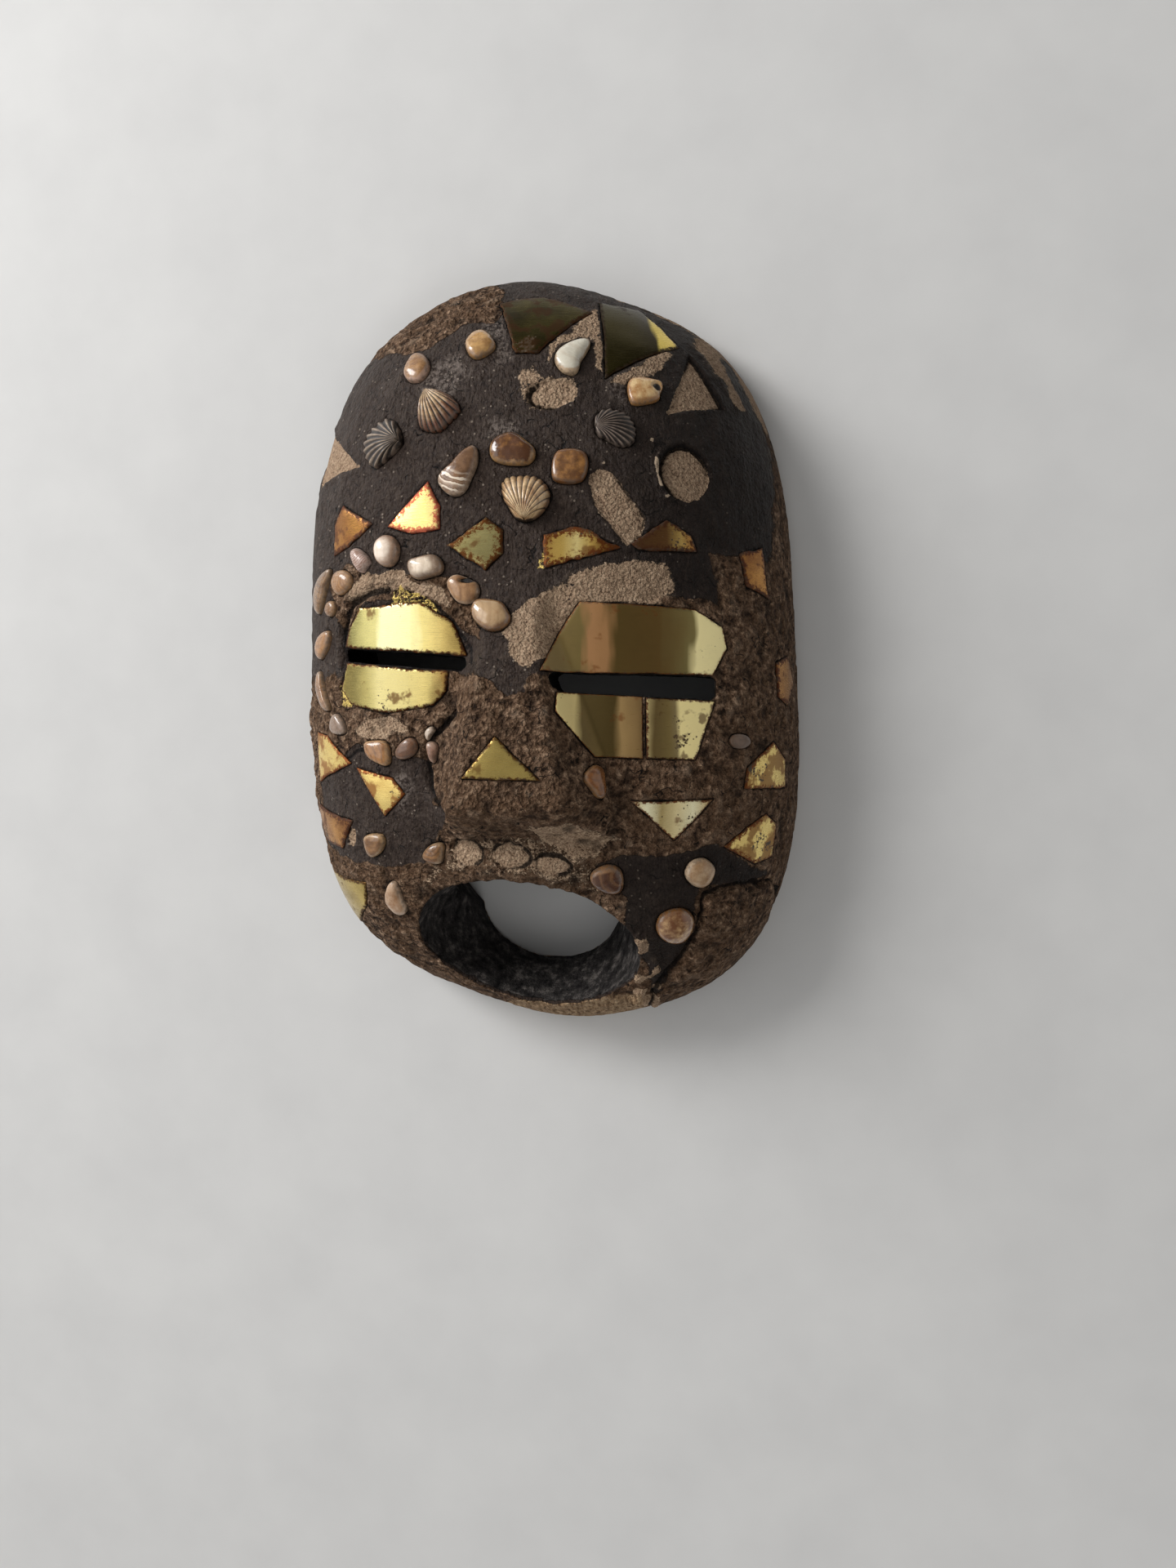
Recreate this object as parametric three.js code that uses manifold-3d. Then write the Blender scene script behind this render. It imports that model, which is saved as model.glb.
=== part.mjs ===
// An oblong wall mask: a hollow domed face of wood under dark paste, set with brass sheet and sea shells.
// Millimetres. It lies on its open back, with the face up (+Z) and the crown towards +Y.
import * as THREE from 'three';
import { mergeVertices } from 'three/addons/utils/BufferGeometryUtils.js';
import Module from 'manifold-3d';

const wasm = await Module();
wasm.setup();

const { clamp, degToRad, lerp, smoothstep } = THREE.MathUtils;

// Driving sizes of the whole face
const HALF_WIDTH = 112.5;
const HALF_LENGTH = 179.5;
const DOME_HEIGHT = 98;
const OUTLINE_POWER = 3.2;
const DOME_POWER = 2.25;
const DOME_MIDDLE = { x: -0.9, y: -3 };
const DOME_SPOKES = 46;
const DOME_RINGS = 11;

// The outline is uneven, as a hand-made one is: the shares of each wave that runs round it
const OUTLINE_WAVES = [
  { order: 2, cosine: 0.047, sine: -0.018 },
  { order: 3, cosine: -0.002, sine: -0.0155 },
  { order: 4, cosine: 0.021, sine: 0.007 },
  { order: 5, cosine: -0.002, sine: -0.003 },
  { order: 6, cosine: -0.014, sine: -0.002 },
];

// The broad nose, widening and rising downwards, and the pushed-out upper lip below it.
// Sides and lip are full up to the first share of their half size and gone at the second.
const NOSE = {
  x: 2,
  top: 5,
  tip: -68,
  bottom: -88,
  halfTop: 15,
  halfBase: 36,
  height: 24,
  rootShare: 0.35,
  sides: [0.55, 1.25],
  bridge: [0, 35],
};
const LIP = { x: 2, y: -94, halfLength: 46, halfWidth: 11, height: 5, sides: [0.3, 1.2] };

// The hollow behind the face is egg-shaped, narrow at the chin
const HOLLOW = {
  y: 10,
  halfWidth: 94,
  upper: { reach: 143, power: 2.4 },
  lower: { reach: 160, power: 1.6 },
  height: 82,
  profile: [[1, 0], [0.98, 0.39], [0.9, 0.64], [0.75, 0.83], [0.45, 0.96], [0, 1]],
};
const HOLLOW_SPOKES = 24;

// The mouth is a funnel, wide at the front and narrower at the back
const MOUTH = {
  front: { x: -2, y: -133.5, halfWidth: 51, halfHeight: 33 },
  back: { x: -4, y: -124, halfWidth: 35, halfHeight: 27 },
  tilt: degToRad(-8),
  funnelTop: 62,
  rings: 3,
};
const MOUTH_SPOKES = 22;

// The eye slits go right through; each is a four-cornered outline seen from the front
const LEFT_SLIT = [[-80, 0], [-80, -6], [-18, -12], [-18, -6]];
const RIGHT_SLIT = [[16, -13], [19, -21], [83, -25], [83, -15]];

// Room that a cut takes beyond the surface it opens
const UNDER_ROOM = 5;
const OVER_ROOM = 30;
const PRESS_ROOM = 9;

// How the inlays sit in the paste
const CLEARANCE = 0.3;
const BRASS_BELOW = 0.7;
const BRASS_ABOVE = 0.6;
const BRASS_CELL = 11;
const SHELL_BELOW = 2;
const LARGE_SHELL_AREA = 190;
const LARGE_SHELL_SPOKES = 10;
const SMALL_SHELL_SPOKES = 8;
const EMPTY_BED_SPOKES = 8;

// A smooth shell stands a short straight edge over the paste and then domes in two steps
const SHELL_EDGE = 0.4;
const SHELL_SHOULDER = { radius: 0.74, rise: 0.72 };

// A cockle valve as a fan, in shares of its size: ribs spread to each side of the middle one
const COCKLE = {
  spread: degToRad(76),
  hinge: 0.46,
  reach: 0.96,
  sideBearing: 0.62,
  sidePower: 1.3,
  hingeShare: 0.1,
  umboShare: 0.14,
  archPower: 0.7,
  archBearing: 0.8,
  rise: 0.3,
  ribDepth: 0.035,
  edge: 0.5,
  rings: 3,
};

const pasteMaterial = new THREE.MeshStandardMaterial({ color: 0x3f3733, roughness: 0.85, metalness: 0 });
const brassMaterial = new THREE.MeshStandardMaterial({ color: 0xc9b45a, roughness: 0.3, metalness: 1 });
const shellMaterial = new THREE.MeshStandardMaterial({ color: 0xb08a62, roughness: 0.35, metalness: 0 });

// Radius at an angle of the rounded oblong |x|^power + |y|^power = 1
function oblongRadius(angle, power) {
  return (Math.abs(Math.cos(angle)) ** power + Math.abs(Math.sin(angle)) ** power) ** (-1 / power);
}

// Radius of the face's outline at an angle, as a share of the half width and half length
function outlineRadius(angle) {
  const unevenness = OUTLINE_WAVES.reduce(
    (sum, wave) => sum + wave.cosine * Math.cos(wave.order * angle) + wave.sine * Math.sin(wave.order * angle),
    1,
  );
  return oblongRadius(angle, OUTLINE_POWER) * unevenness;
}

// Nose and upper lip, as a height over the plain dome
function relief(x, y) {
  const down = clamp((NOSE.top - y) / (NOSE.top - NOSE.tip), 0, 1);
  const half = lerp(NOSE.halfTop, NOSE.halfBase, down);
  const across = 1 - smoothstep(Math.abs(x - NOSE.x) / half, ...NOSE.sides);
  const bridge = 1 - smoothstep(y, ...NOSE.bridge);
  const underside = smoothstep(y, NOSE.bottom, NOSE.tip);
  const nose = NOSE.height * lerp(NOSE.rootShare, 1, down) * across * bridge * underside;
  const lipDistance = Math.hypot((x - LIP.x) / LIP.halfLength, (y - LIP.y) / LIP.halfWidth);
  return nose + LIP.height * (1 - smoothstep(lipDistance, ...LIP.sides));
}

// Share of the way from the middle of the face to its outline
function outwardShare(x, y) {
  const across = (x - DOME_MIDDLE.x) / HALF_WIDTH;
  const along = (y - DOME_MIDDLE.y) / HALF_LENGTH;
  return Math.hypot(across, along) / outlineRadius(Math.atan2(along, across));
}

function faceHeight(x, y) {
  const share = Math.min(outwardShare(x, y), 1);
  return DOME_HEIGHT * (1 - share ** DOME_POWER) ** (1 / DOME_POWER) + relief(x, y);
}

// Zero on the face, negative inside it; unlike the height it stays smooth down the steep sides
function faceLevel(point) {
  const up = Math.max(point.z - relief(point.x, point.y), 0) / DOME_HEIGHT;
  return outwardShare(point.x, point.y) ** DOME_POWER + up ** DOME_POWER - 1;
}

// Axes lying on the face at (x, y): first axis to the right, second towards the crown, third outwards
function frameAt(x, y, turn = 0) {
  const origin = new THREE.Vector3(x, y, faceHeight(x, y));
  const step = 0.5;
  const slope = ['x', 'y', 'z'].map((axis) => {
    const ahead = origin.clone();
    const behind = origin.clone();
    ahead[axis] += step;
    behind[axis] -= step;
    return faceLevel(ahead) - faceLevel(behind);
  });
  const outward = new THREE.Vector3(...slope).normalize();
  const crownward = new THREE.Vector3(0, 1, 0).addScaledVector(outward, -outward.y).normalize();
  const rightward = new THREE.Vector3().crossVectors(crownward, outward);
  const frame = new THREE.Matrix4().makeBasis(rightward, crownward, outward).setPosition(origin);
  return frame.multiply(new THREE.Matrix4().makeRotationZ(degToRad(turn)));
}

// Height of the face over the tangent plane of a frame at (u, v) in that plane, closed in on by slope
function liftOver(frame, u, v) {
  const rounds = 12;
  const step = 0.1;
  const longest = 4;
  const levelAt = (lift) => faceLevel(new THREE.Vector3(u, v, lift).applyMatrix4(frame));
  let lift = 0;
  for (let round = 0; round < rounds; round += 1) {
    const here = levelAt(lift);
    lift -= clamp((step * here) / (levelAt(lift + step) - here), -longest, longest);
  }
  return lift;
}

function toSolid(geometry) {
  const bare = geometry.clone();
  bare.deleteAttribute('normal');
  bare.deleteAttribute('uv');
  const merged = mergeVertices(bare, 1e-4);
  return new wasm.Manifold(new wasm.Mesh({
    numProp: 3,
    vertProperties: Float32Array.from(merged.attributes.position.array),
    triVerts: Uint32Array.from(merged.index.array),
  }));
}

function toGeometry(solid) {
  const mesh = solid.getMesh();
  const geometry = new THREE.BufferGeometry();
  geometry.setAttribute('position', new THREE.BufferAttribute(Float32Array.from(mesh.vertProperties), 3));
  geometry.setIndex(new THREE.BufferAttribute(Uint32Array.from(mesh.triVerts), 1));
  geometry.computeVertexNormals();
  return geometry;
}

// Moves every vertex of a geometry to where the function puts it
function warp(geometry, move) {
  const position = geometry.attributes.position;
  const point = new THREE.Vector3();
  for (let i = 0; i < position.count; i += 1) {
    point.fromBufferAttribute(position, i);
    move(point);
    position.setXYZ(i, point.x, point.y, point.z);
  }
  return geometry;
}

// A round form about +Z, from the bottom of its profile of [radius, height] pairs to the top
function turned(profile, spokes) {
  const points = profile.map(([radius, height]) => new THREE.Vector2(radius, height));
  return new THREE.LatheGeometry(points, spokes).rotateX(Math.PI / 2);
}

// A straight-sided block of any outline between two heights
function prism(corners, low, high) {
  const shape = new THREE.Shape(corners.map(([u, v]) => new THREE.Vector2(u, v)));
  return new THREE.ExtrudeGeometry(shape, { depth: high - low, bevelEnabled: false }).translate(0, 0, low);
}

// The plain dome with its nose and lip, closed by a flat underside
function domeSolid() {
  const profile = [[0, 0], [1, 0]];
  for (let ring = DOME_RINGS - 1; ring >= 0; ring -= 1) {
    const climb = (ring / DOME_RINGS) * (Math.PI / 2);
    profile.push([Math.sin(climb) ** (2 / DOME_POWER), Math.cos(climb) ** (2 / DOME_POWER)]);
  }
  return toSolid(warp(turned(profile, DOME_SPOKES), (point) => {
    const radius = outlineRadius(Math.atan2(point.y, point.x));
    const x = DOME_MIDDLE.x + point.x * radius * HALF_WIDTH;
    const y = DOME_MIDDLE.y + point.y * radius * HALF_LENGTH;
    point.set(x, y, point.z > 0 ? point.z * DOME_HEIGHT + relief(x, y) : 0);
  }));
}

function hollowSolid() {
  const profile = [[0, -UNDER_ROOM], [1, -UNDER_ROOM], ...HOLLOW.profile];
  return toSolid(warp(turned(profile, HOLLOW_SPOKES), (point) => {
    const half = point.y > 0 ? HOLLOW.upper : HOLLOW.lower;
    const radius = oblongRadius(Math.atan2(point.y, point.x), half.power);
    point.x *= radius * HOLLOW.halfWidth;
    point.y = HOLLOW.y + point.y * radius * half.reach;
    point.z *= point.z > 0 ? HOLLOW.height : 1;
  }));
}

function mouthSolid() {
  const profile = [[0, -UNDER_ROOM], [1, -UNDER_ROOM]];
  for (let ring = 0; ring <= MOUTH.rings; ring += 1) {
    profile.push([1, (MOUTH.funnelTop * ring) / MOUTH.rings]);
  }
  profile.push([1, DOME_HEIGHT + OVER_ROOM], [0, DOME_HEIGHT + OVER_ROOM]);
  return toSolid(warp(turned(profile, MOUTH_SPOKES), (point) => {
    const open = smoothstep(point.z, 0, MOUTH.funnelTop);
    const between = (key) => lerp(MOUTH.back[key], MOUTH.front[key], open);
    const across = point.x * between('halfWidth');
    const along = point.y * between('halfHeight');
    point.x = between('x') + across * Math.cos(MOUTH.tilt) - along * Math.sin(MOUTH.tilt);
    point.y = between('y') + across * Math.sin(MOUTH.tilt) + along * Math.cos(MOUTH.tilt);
  }));
}

// Everything set in the face is collected here: its mesh, and the cut it needs in the paste
const inlays = [];
const cuts = [];

function addInlay(name, geometry, material, frame) {
  const mesh = new THREE.Mesh(geometry, material);
  mesh.name = name;
  mesh.applyMatrix4(frame);
  inlays.push(mesh);
}

// What two geometries share, once both are placed
function shared(geometries, place = new THREE.Matrix4()) {
  const [first, second] = geometries.map((geometry) => toSolid(geometry.applyMatrix4(place)));
  return first.intersect(second);
}

// An outline round the frame's origin, moved out by an amount on its nearest side
function grown(corners, amount) {
  const distances = corners.map(([u, v], i) => {
    const [nextU, nextV] = corners[(i + 1) % corners.length];
    return Math.abs(u * nextV - v * nextU) / Math.hypot(nextU - u, nextV - v);
  });
  const factor = 1 + amount / Math.min(...distances);
  return corners.map(([u, v]) => [u * factor, v * factor]);
}

// A slab that follows the curved face between two distances from it, and the outline block that trims it.
// A piece and its bed share one grid, the one of the piece's own outline, so that they keep their distance.
function curvedBlock(frame, piece, below, above, corners = piece) {
  const margin = 4;
  const deepest = 60;
  const [halfU, halfV] = [0, 1].map((axis) => (
    Math.max(...piece.map((corner) => Math.abs(corner[axis]))) + margin
  ));
  const cells = (half) => Math.max(1, Math.round(half / BRASS_CELL));
  const slab = warp(new THREE.BoxGeometry(2 * halfU, 2 * halfV, 2, cells(halfU), cells(halfV), 1), (point) => {
    point.z = liftOver(frame, point.x, point.y) + (point.z < 0 ? -below : above);
  });
  return [slab, prism(corners, -deepest, deepest)];
}

// Corners of an outline on the face, given as [x, y] seen from the front, moved into a frame at their middle
function settleOutline(outline) {
  const middle = [0, 1].map((axis) => outline.reduce((sum, corner) => sum + corner[axis], 0) / outline.length);
  const frame = frameAt(...middle);
  const inverse = frame.clone().invert();
  const corners = outline.map(([x, y]) => {
    const point = new THREE.Vector3(x, y, faceHeight(x, y)).applyMatrix4(inverse);
    return [point.x, point.y];
  });
  if (THREE.ShapeUtils.area(corners.map(([u, v]) => new THREE.Vector2(u, v))) < 0) {
    corners.reverse();
  }
  return { frame, corners };
}

// A piece of brass sheet bent to the face and pressed a little into it
function brassPlate(name, outline) {
  const { frame, corners } = settleOutline(outline);
  const sheet = curvedBlock(frame, corners, BRASS_BELOW, BRASS_ABOVE);
  addInlay(name, toGeometry(shared(sheet)), brassMaterial, frame);
  const bed = curvedBlock(frame, corners, BRASS_BELOW + CLEARANCE, PRESS_ROOM, grown(corners, CLEARANCE));
  cuts.push(shared(bed, frame));
}

// A shallow place from which an inlay has fallen
function emptyBed(outline, depth) {
  const { frame, corners } = settleOutline(outline);
  cuts.push(shared(curvedBlock(frame, corners, depth, PRESS_ROOM), frame));
}

// An emptied oval bed
function emptyOval(x, y, width, length, depth, turn = 0) {
  const corners = [];
  for (let spoke = 0; spoke < EMPTY_BED_SPOKES; spoke += 1) {
    const angle = (spoke / EMPTY_BED_SPOKES) * 2 * Math.PI;
    corners.push([(Math.cos(angle) * width) / 2, (Math.sin(angle) * length) / 2]);
  }
  const frame = frameAt(x, y, turn);
  cuts.push(shared(curvedBlock(frame, corners, depth, PRESS_ROOM), frame));
}

// How far the edge of a smooth shell lies at an angle, for a shell one unit wide and long
const SHELL_OUTLINES = {
  oval: () => 1,
  egg: (angle) => 1 - 0.16 * Math.sin(angle) * Math.cos(angle) ** 2,
  drop: (angle) => 1 - 0.42 * Math.max(0, Math.sin(angle)) * Math.cos(angle) ** 2,
  bean: (angle) => 1 - 0.14 * Math.max(0, Math.cos(2 * angle)) * (Math.cos(angle) > 0 ? 0.3 : 1),
  chip: (angle) => 1 + 0.1 * Math.cos(4 * angle),
};

// A smooth domed shell pressed into the paste
function smoothShell(name, x, y, { width, length, rise = 3.5, turn = 0, outline = 'egg' }) {
  const spokes = width * length > LARGE_SHELL_AREA ? LARGE_SHELL_SPOKES : SMALL_SHELL_SPOKES;
  const frame = frameAt(x, y, turn);
  const form = (profile, growth) => warp(turned(profile, spokes), (point) => {
    const radius = SHELL_OUTLINES[outline](Math.atan2(point.y, point.x));
    point.x *= (radius * width) / 2 + growth;
    point.y *= (radius * length) / 2 + growth;
  });
  const dome = [
    [0, -SHELL_BELOW],
    [1, -SHELL_BELOW],
    [1, SHELL_EDGE],
    [SHELL_SHOULDER.radius, SHELL_EDGE + SHELL_SHOULDER.rise * rise],
    [0, SHELL_EDGE + rise],
  ];
  addInlay(name, toGeometry(toSolid(form(dome, 0))), shellMaterial, frame);
  const floor = -SHELL_BELOW - CLEARANCE;
  const bed = form([[0, floor], [1, floor], [1, PRESS_ROOM], [0, PRESS_ROOM]], CLEARANCE);
  cuts.push(toSolid(bed.applyMatrix4(frame)));
}

// A cockle valve: ribs fan out from the hinge, which is at the bottom before the turn
function cockle(name, x, y, { size, turn, ribs }) {
  const frame = frameAt(x, y, turn);
  const place = (bearing, share) => {
    const reach = size * COCKLE.reach * Math.cos(bearing * COCKLE.sideBearing) ** COCKLE.sidePower * share;
    return [Math.sin(bearing) * reach, Math.cos(bearing) * reach - COCKLE.hinge * size];
  };
  const fan = warp(new THREE.BoxGeometry(2, 1, 1, ribs * 2, COCKLE.rings, 1), (point) => {
    const bearing = point.x * COCKLE.spread;
    const share = lerp(COCKLE.hingeShare, 1, point.y + 0.5);
    const rib = 0.5 - 0.5 * Math.cos(point.x * ribs * Math.PI);
    const along = Math.min(lerp(COCKLE.umboShare, 1, share), 1);
    const arch = Math.sin(Math.PI * along) ** COCKLE.archPower * Math.cos(bearing * COCKLE.archBearing);
    const top = COCKLE.edge + size * (COCKLE.rise * arch + COCKLE.ribDepth * rib * share);
    point.set(...place(bearing, share), point.z > 0 ? top : -2 * SHELL_BELOW);
  });
  const rim = [place(-COCKLE.spread, COCKLE.hingeShare), place(COCKLE.spread, COCKLE.hingeShare)];
  for (let half = 0; half <= ribs * 2; half += 1) {
    rim.push(place(COCKLE.spread * (1 - half / ribs), 1));
  }
  const flatBelow = prism(grown(rim, SHELL_BELOW), -SHELL_BELOW, size);
  addInlay(name, toGeometry(shared([fan, flatBelow])), shellMaterial, frame);
  const bed = prism(grown(rim, CLEARANCE), -SHELL_BELOW - CLEARANCE, PRESS_ROOM);
  cuts.push(toSolid(bed.applyMatrix4(frame)));
}

// Eyelid plates
brassPlate('left_upper_lid_plate', [[-80, 0.3], [-77, 9], [-71, 17], [-40, 18], [-25, 9], [-18.5, -5.5]]);
brassPlate('left_lower_lid_plate', [
  [-79, -6.5],
  [-27, -11.6],
  [-28, -20],
  [-34, -26],
  [-59, -29],
  [-77, -25],
  [-83, -18],
]);
brassPlate('right_upper_lid_plate', [[29, 16], [15, -12.5], [82, -14.4], [88, -3], [86, 6], [75, 13]]);
brassPlate('right_lower_lid_inner_plate', [[21, -21.5], [54, -23.5], [54, -49], [35, -48], [21, -29]]);
brassPlate('right_lower_lid_outer_plate', [[55.6, -23.6], [83, -25.4], [75, -50], [55.6, -49]]);

// Plates on the nose, crown and brow
brassPlate('nose_plate', [[-3, -39], [16, -57], [-17, -56]]);
brassPlate('crown_left_plate', [[-13, 153], [6, 156], [28, 147], [8, 125], [-2, 125]]);
brassPlate('crown_right_plate', [[30, 154], [47, 152], [66, 130], [53, 123], [37, 112]]);
brassPlate('brow_left_plate', [[-37, 69], [-31, 58], [-31, 48], [-44, 47], [-56, 51]]);
brassPlate('left_temple_plate', [[-82, 64], [-64, 53], [-77, 45], [-87, 42], [-87, 56]]);
brassPlate('brow_middle_plate', [[-27, 41], [-11, 52], [-3, 47], [-3, 37], [-10, 30], [-22, 37]]);
brassPlate('brow_wide_plate', [[14, 44], [28, 47], [46, 38], [15, 30]]);
brassPlate('brow_right_plate', [[50, 40], [64, 50], [74, 44], [76, 37], [53, 37]]);
brassPlate('right_temple_plate', [[93, 38], [102, 42], [105, 20], [96, 24]]);

// Plates on the cheeks and flanks
brassPlate('left_cheek_edge_plate', [[-102, -37], [-94, -39], [-78, -51], [-102, -60]]);
brassPlate('left_cheek_kite_plate', [[-75, -53], [-56, -57], [-50, -64], [-61, -74]]);
brassPlate('left_jaw_edge_plate', [[-107, -71], [-80, -77], [-89, -91], [-102, -88]]);
brassPlate('left_chin_plate', [[-107, -102], [-77, -106], [-80, -118], [-92, -130], [-102, -119]]);
brassPlate('right_cheek_triangle_plate', [[49, -67], [82, -67], [66, -84]]);
brassPlate('right_cheek_edge_plate', [[107, -43], [112, -51], [112, -64], [95, -63], [96, -54]]);
brassPlate('right_jaw_plate', [[86, -88], [96, -80], [104, -75], [108, -80], [106, -95], [99, -97]]);
brassPlate('right_flank_plate', [[108, -8], [113, -5], [115.5, -16], [113, -27], [109, -23]]);

// Ribbed cockles
cockle('cockle_upper_left', -34, 99, { size: 17.5, turn: -150, ribs: 9 });
cockle('cockle_left', -60, 89, { size: 18.5, turn: 108, ribs: 10 });
cockle('cockle_upper_right', 42, 89, { size: 16.5, turn: -82, ribs: 10 });
cockle('cockle_brow', 7, 59, { size: 21, turn: 0, ribs: 8 });

// Smooth shells on the forehead
smoothShell('crown_round_shell', -18, 131, { width: 13.8, length: 13.5, outline: 'chip' });
smoothShell('crown_oval_shell', -48, 123, { width: 9.5, length: 14, turn: -15 });
smoothShell('white_drop_shell', 22, 122, { width: 12, length: 18, turn: -50, outline: 'drop', rise: 3 });
smoothShell('notched_shell', 54, 106, { width: 15, length: 13, outline: 'chip' });
smoothShell('banded_mussel', -23, 73, { width: 12, length: 26, turn: -38, rise: 5 });
smoothShell('brown_saddle_shell', -1, 81, { width: 18, length: 14.5, rise: 4, outline: 'bean' });
smoothShell('brown_square_shell', 24, 73, { width: 15, length: 15, turn: 5, outline: 'chip', rise: 2.5 });

// Smooth shells about the left eye
smoothShell('pearl_oval_shell', -56, 41, { width: 11.2, length: 14.5, rise: 5, outline: 'oval' });
smoothShell('pearl_bean_shell', -37, 32, { width: 10.5, length: 16, turn: 80, rise: 5, outline: 'bean' });
smoothShell('small_cone_shell', -70, 38, { width: 7.5, length: 12.5, turn: 30 });
smoothShell('temple_leaf_shell', -81, 29, { width: 8.5, length: 13, turn: -15, rise: 3 });
smoothShell('temple_sliver_shell', -90, 17, { width: 5, length: 9, rise: 2 });
smoothShell('temple_long_shell', -98, 26, { width: 9, length: 24, rise: 2.5 });
smoothShell('broken_shell', -20, 24, { width: 14, length: 13, turn: 20, outline: 'chip' });
smoothShell('cream_round_shell', -6, 10, { width: 15.5, length: 13.5, rise: 4, outline: 'bean' });
smoothShell('left_flank_upper_shell', -97, 2, { width: 9, length: 14, rise: 2.5 });
smoothShell('left_flank_lower_shell', -96, -18, { width: 8, length: 18, rise: 2.5 });
smoothShell('left_cheek_pale_shell', -86, -33, { width: 8.5, length: 10, rise: 2 });

// Shells of the left cheek, in a row like teeth
smoothShell('cheek_tooth_shell_1', -63, -46, { width: 12, length: 11, turn: 10, outline: 'chip', rise: 2.5 });
smoothShell('cheek_tooth_shell_2', -48.5, -44, { width: 9.5, length: 11, rise: 2.5 });
smoothShell('cheek_tooth_shell_3', -37.5, -47, { width: 7, length: 10.5, rise: 2.5 });
smoothShell('cheek_crescent_shell', -38.5, -36, { width: 4, length: 7, turn: -25, rise: 1.8 });

// Shells round the mouth and on the right cheek
smoothShell('left_jaw_shell', -69, -88, { width: 10, length: 11.5, rise: 3 });
smoothShell('lip_left_shell', -40, -90, { width: 10.5, length: 10, rise: 3, outline: 'bean' });
smoothShell('chin_cream_shell', -62, -113, { width: 9, length: 17, turn: 25, rise: 3 });
smoothShell('nose_side_shell', 36, -58, { width: 9, length: 17, turn: 15, rise: 3, outline: 'drop' });
smoothShell('buried_shell', 94, -42, { width: 9.5, length: 7, rise: 1.2 });
smoothShell('lip_right_shell', 37, -101, { width: 15, length: 15, turn: 60, rise: 4.5 });
smoothShell('cheek_cream_shell', 77, -99, { width: 14, length: 14.5, turn: 20, outline: 'oval' });
smoothShell('jaw_round_shell', 66, -124, { width: 18, length: 16.5, rise: 5, outline: 'oval' });

// Beds that have lost their inlay
emptyOval(16, 105, 20, 15, 2, 8);
emptyOval(71, 71, 20, 21, 2.5);
emptyBed([[32, 69], [41, 71], [56, 51], [54, 42], [48, 39], [35, 56]], 1.2);
emptyBed([[71, 127], [86, 102], [63, 96]], 1.2);
emptyBed([[-101, 108], [-85, 91], [-73, 80], [-104, 77], [-108, 97]], 1.2);
emptyOval(-22, -89, 15, 11, 1.5, -15);
emptyOval(-2, -90, 18, 11, 1.2, -10);
emptyOval(16, -94, 16, 10, 1, -15);
emptyOval(-82, -85, 5, 10, 1.2, -30);

// The face itself, cut by the hollow, the mouth, the slits and every bed
const slits = [LEFT_SLIT, RIGHT_SLIT].map((corners) => (
  toSolid(prism(corners, -UNDER_ROOM, DOME_HEIGHT + OVER_ROOM))
));
const face = wasm.Manifold.difference([domeSolid(), hollowSolid(), mouthSolid(), ...slits, ...cuts]);
const body = new THREE.Mesh(toGeometry(face), pasteMaterial);
body.name = 'mask_body';

// The origin is under the middle of the mask
const mask = new THREE.Group();
mask.add(body, ...inlays);
const extent = new THREE.Box3().setFromObject(mask);
const middle = extent.getCenter(new THREE.Vector3());
mask.position.set(-middle.x, -middle.y, -extent.min.z);
mask.updateMatrixWorld(true);

export default mask;
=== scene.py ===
import math
from itertools import product

import bmesh
import bpy
import numpy as np
from mathutils import Matrix, Vector


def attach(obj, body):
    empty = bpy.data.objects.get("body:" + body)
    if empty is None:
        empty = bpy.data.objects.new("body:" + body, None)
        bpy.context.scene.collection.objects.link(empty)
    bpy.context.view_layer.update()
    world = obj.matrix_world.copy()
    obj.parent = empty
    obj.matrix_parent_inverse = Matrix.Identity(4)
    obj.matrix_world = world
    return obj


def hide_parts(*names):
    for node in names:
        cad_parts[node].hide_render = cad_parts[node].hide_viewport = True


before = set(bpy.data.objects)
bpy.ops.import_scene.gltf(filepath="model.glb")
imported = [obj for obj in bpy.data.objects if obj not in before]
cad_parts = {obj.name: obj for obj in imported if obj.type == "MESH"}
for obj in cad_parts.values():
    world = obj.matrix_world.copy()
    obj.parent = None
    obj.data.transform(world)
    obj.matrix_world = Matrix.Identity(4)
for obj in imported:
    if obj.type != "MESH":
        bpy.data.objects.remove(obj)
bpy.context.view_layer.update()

# The looks of an oblong wall mask: wood under dark paste, set with brass sheet and sea shells.
# Every piece is worked out in millimetres on the mask's own axes and settled into the row frame at the end.
MM = 0.001
SETTLE = Vector((0.76, 0.78, 0.0))
BODY = "root"

# Driving sizes of the whole face, as in the solids
HALF_WIDTH = 112.5
HALF_LENGTH = 179.5
DOME_HEIGHT = 98.0
OUTLINE_POWER = 3.2
DOME_POWER = 2.25
DOME_MIDDLE = (-0.9, -3.0)
# How uneven the outline is: [bulges in a turn, share of the cosine, share of the sine]
OUTLINE_WAVES = (
    (2, 0.047, -0.018),
    (3, -0.002, -0.0155),
    (4, 0.021, 0.007),
    (5, -0.002, -0.003),
    (6, -0.014, -0.002),
)
NOSE = dict(x=2, top=5, tip=-68, bottom=-88, half_top=15, half_base=36, height=24, root=0.35)
NOSE_SIDES = (0.55, 1.25)
NOSE_BRIDGE = (0, 35)
LIP = dict(x=2, y=-94, half_length=46, half_width=11, height=5)
LIP_SIDES = (0.3, 1.2)
HOLLOW = dict(y=10, half_width=94, upper=143, lower=160, height=82, upper_power=2.4, lower_power=1.6)
HOLLOW_PROFILE = ((1, 0), (0.98, 0.39), (0.9, 0.64), (0.75, 0.83), (0.45, 0.96), (0, 1))
MOUTH_FRONT = dict(x=-2, y=-133.5, half_width=51, half_height=33)
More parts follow.
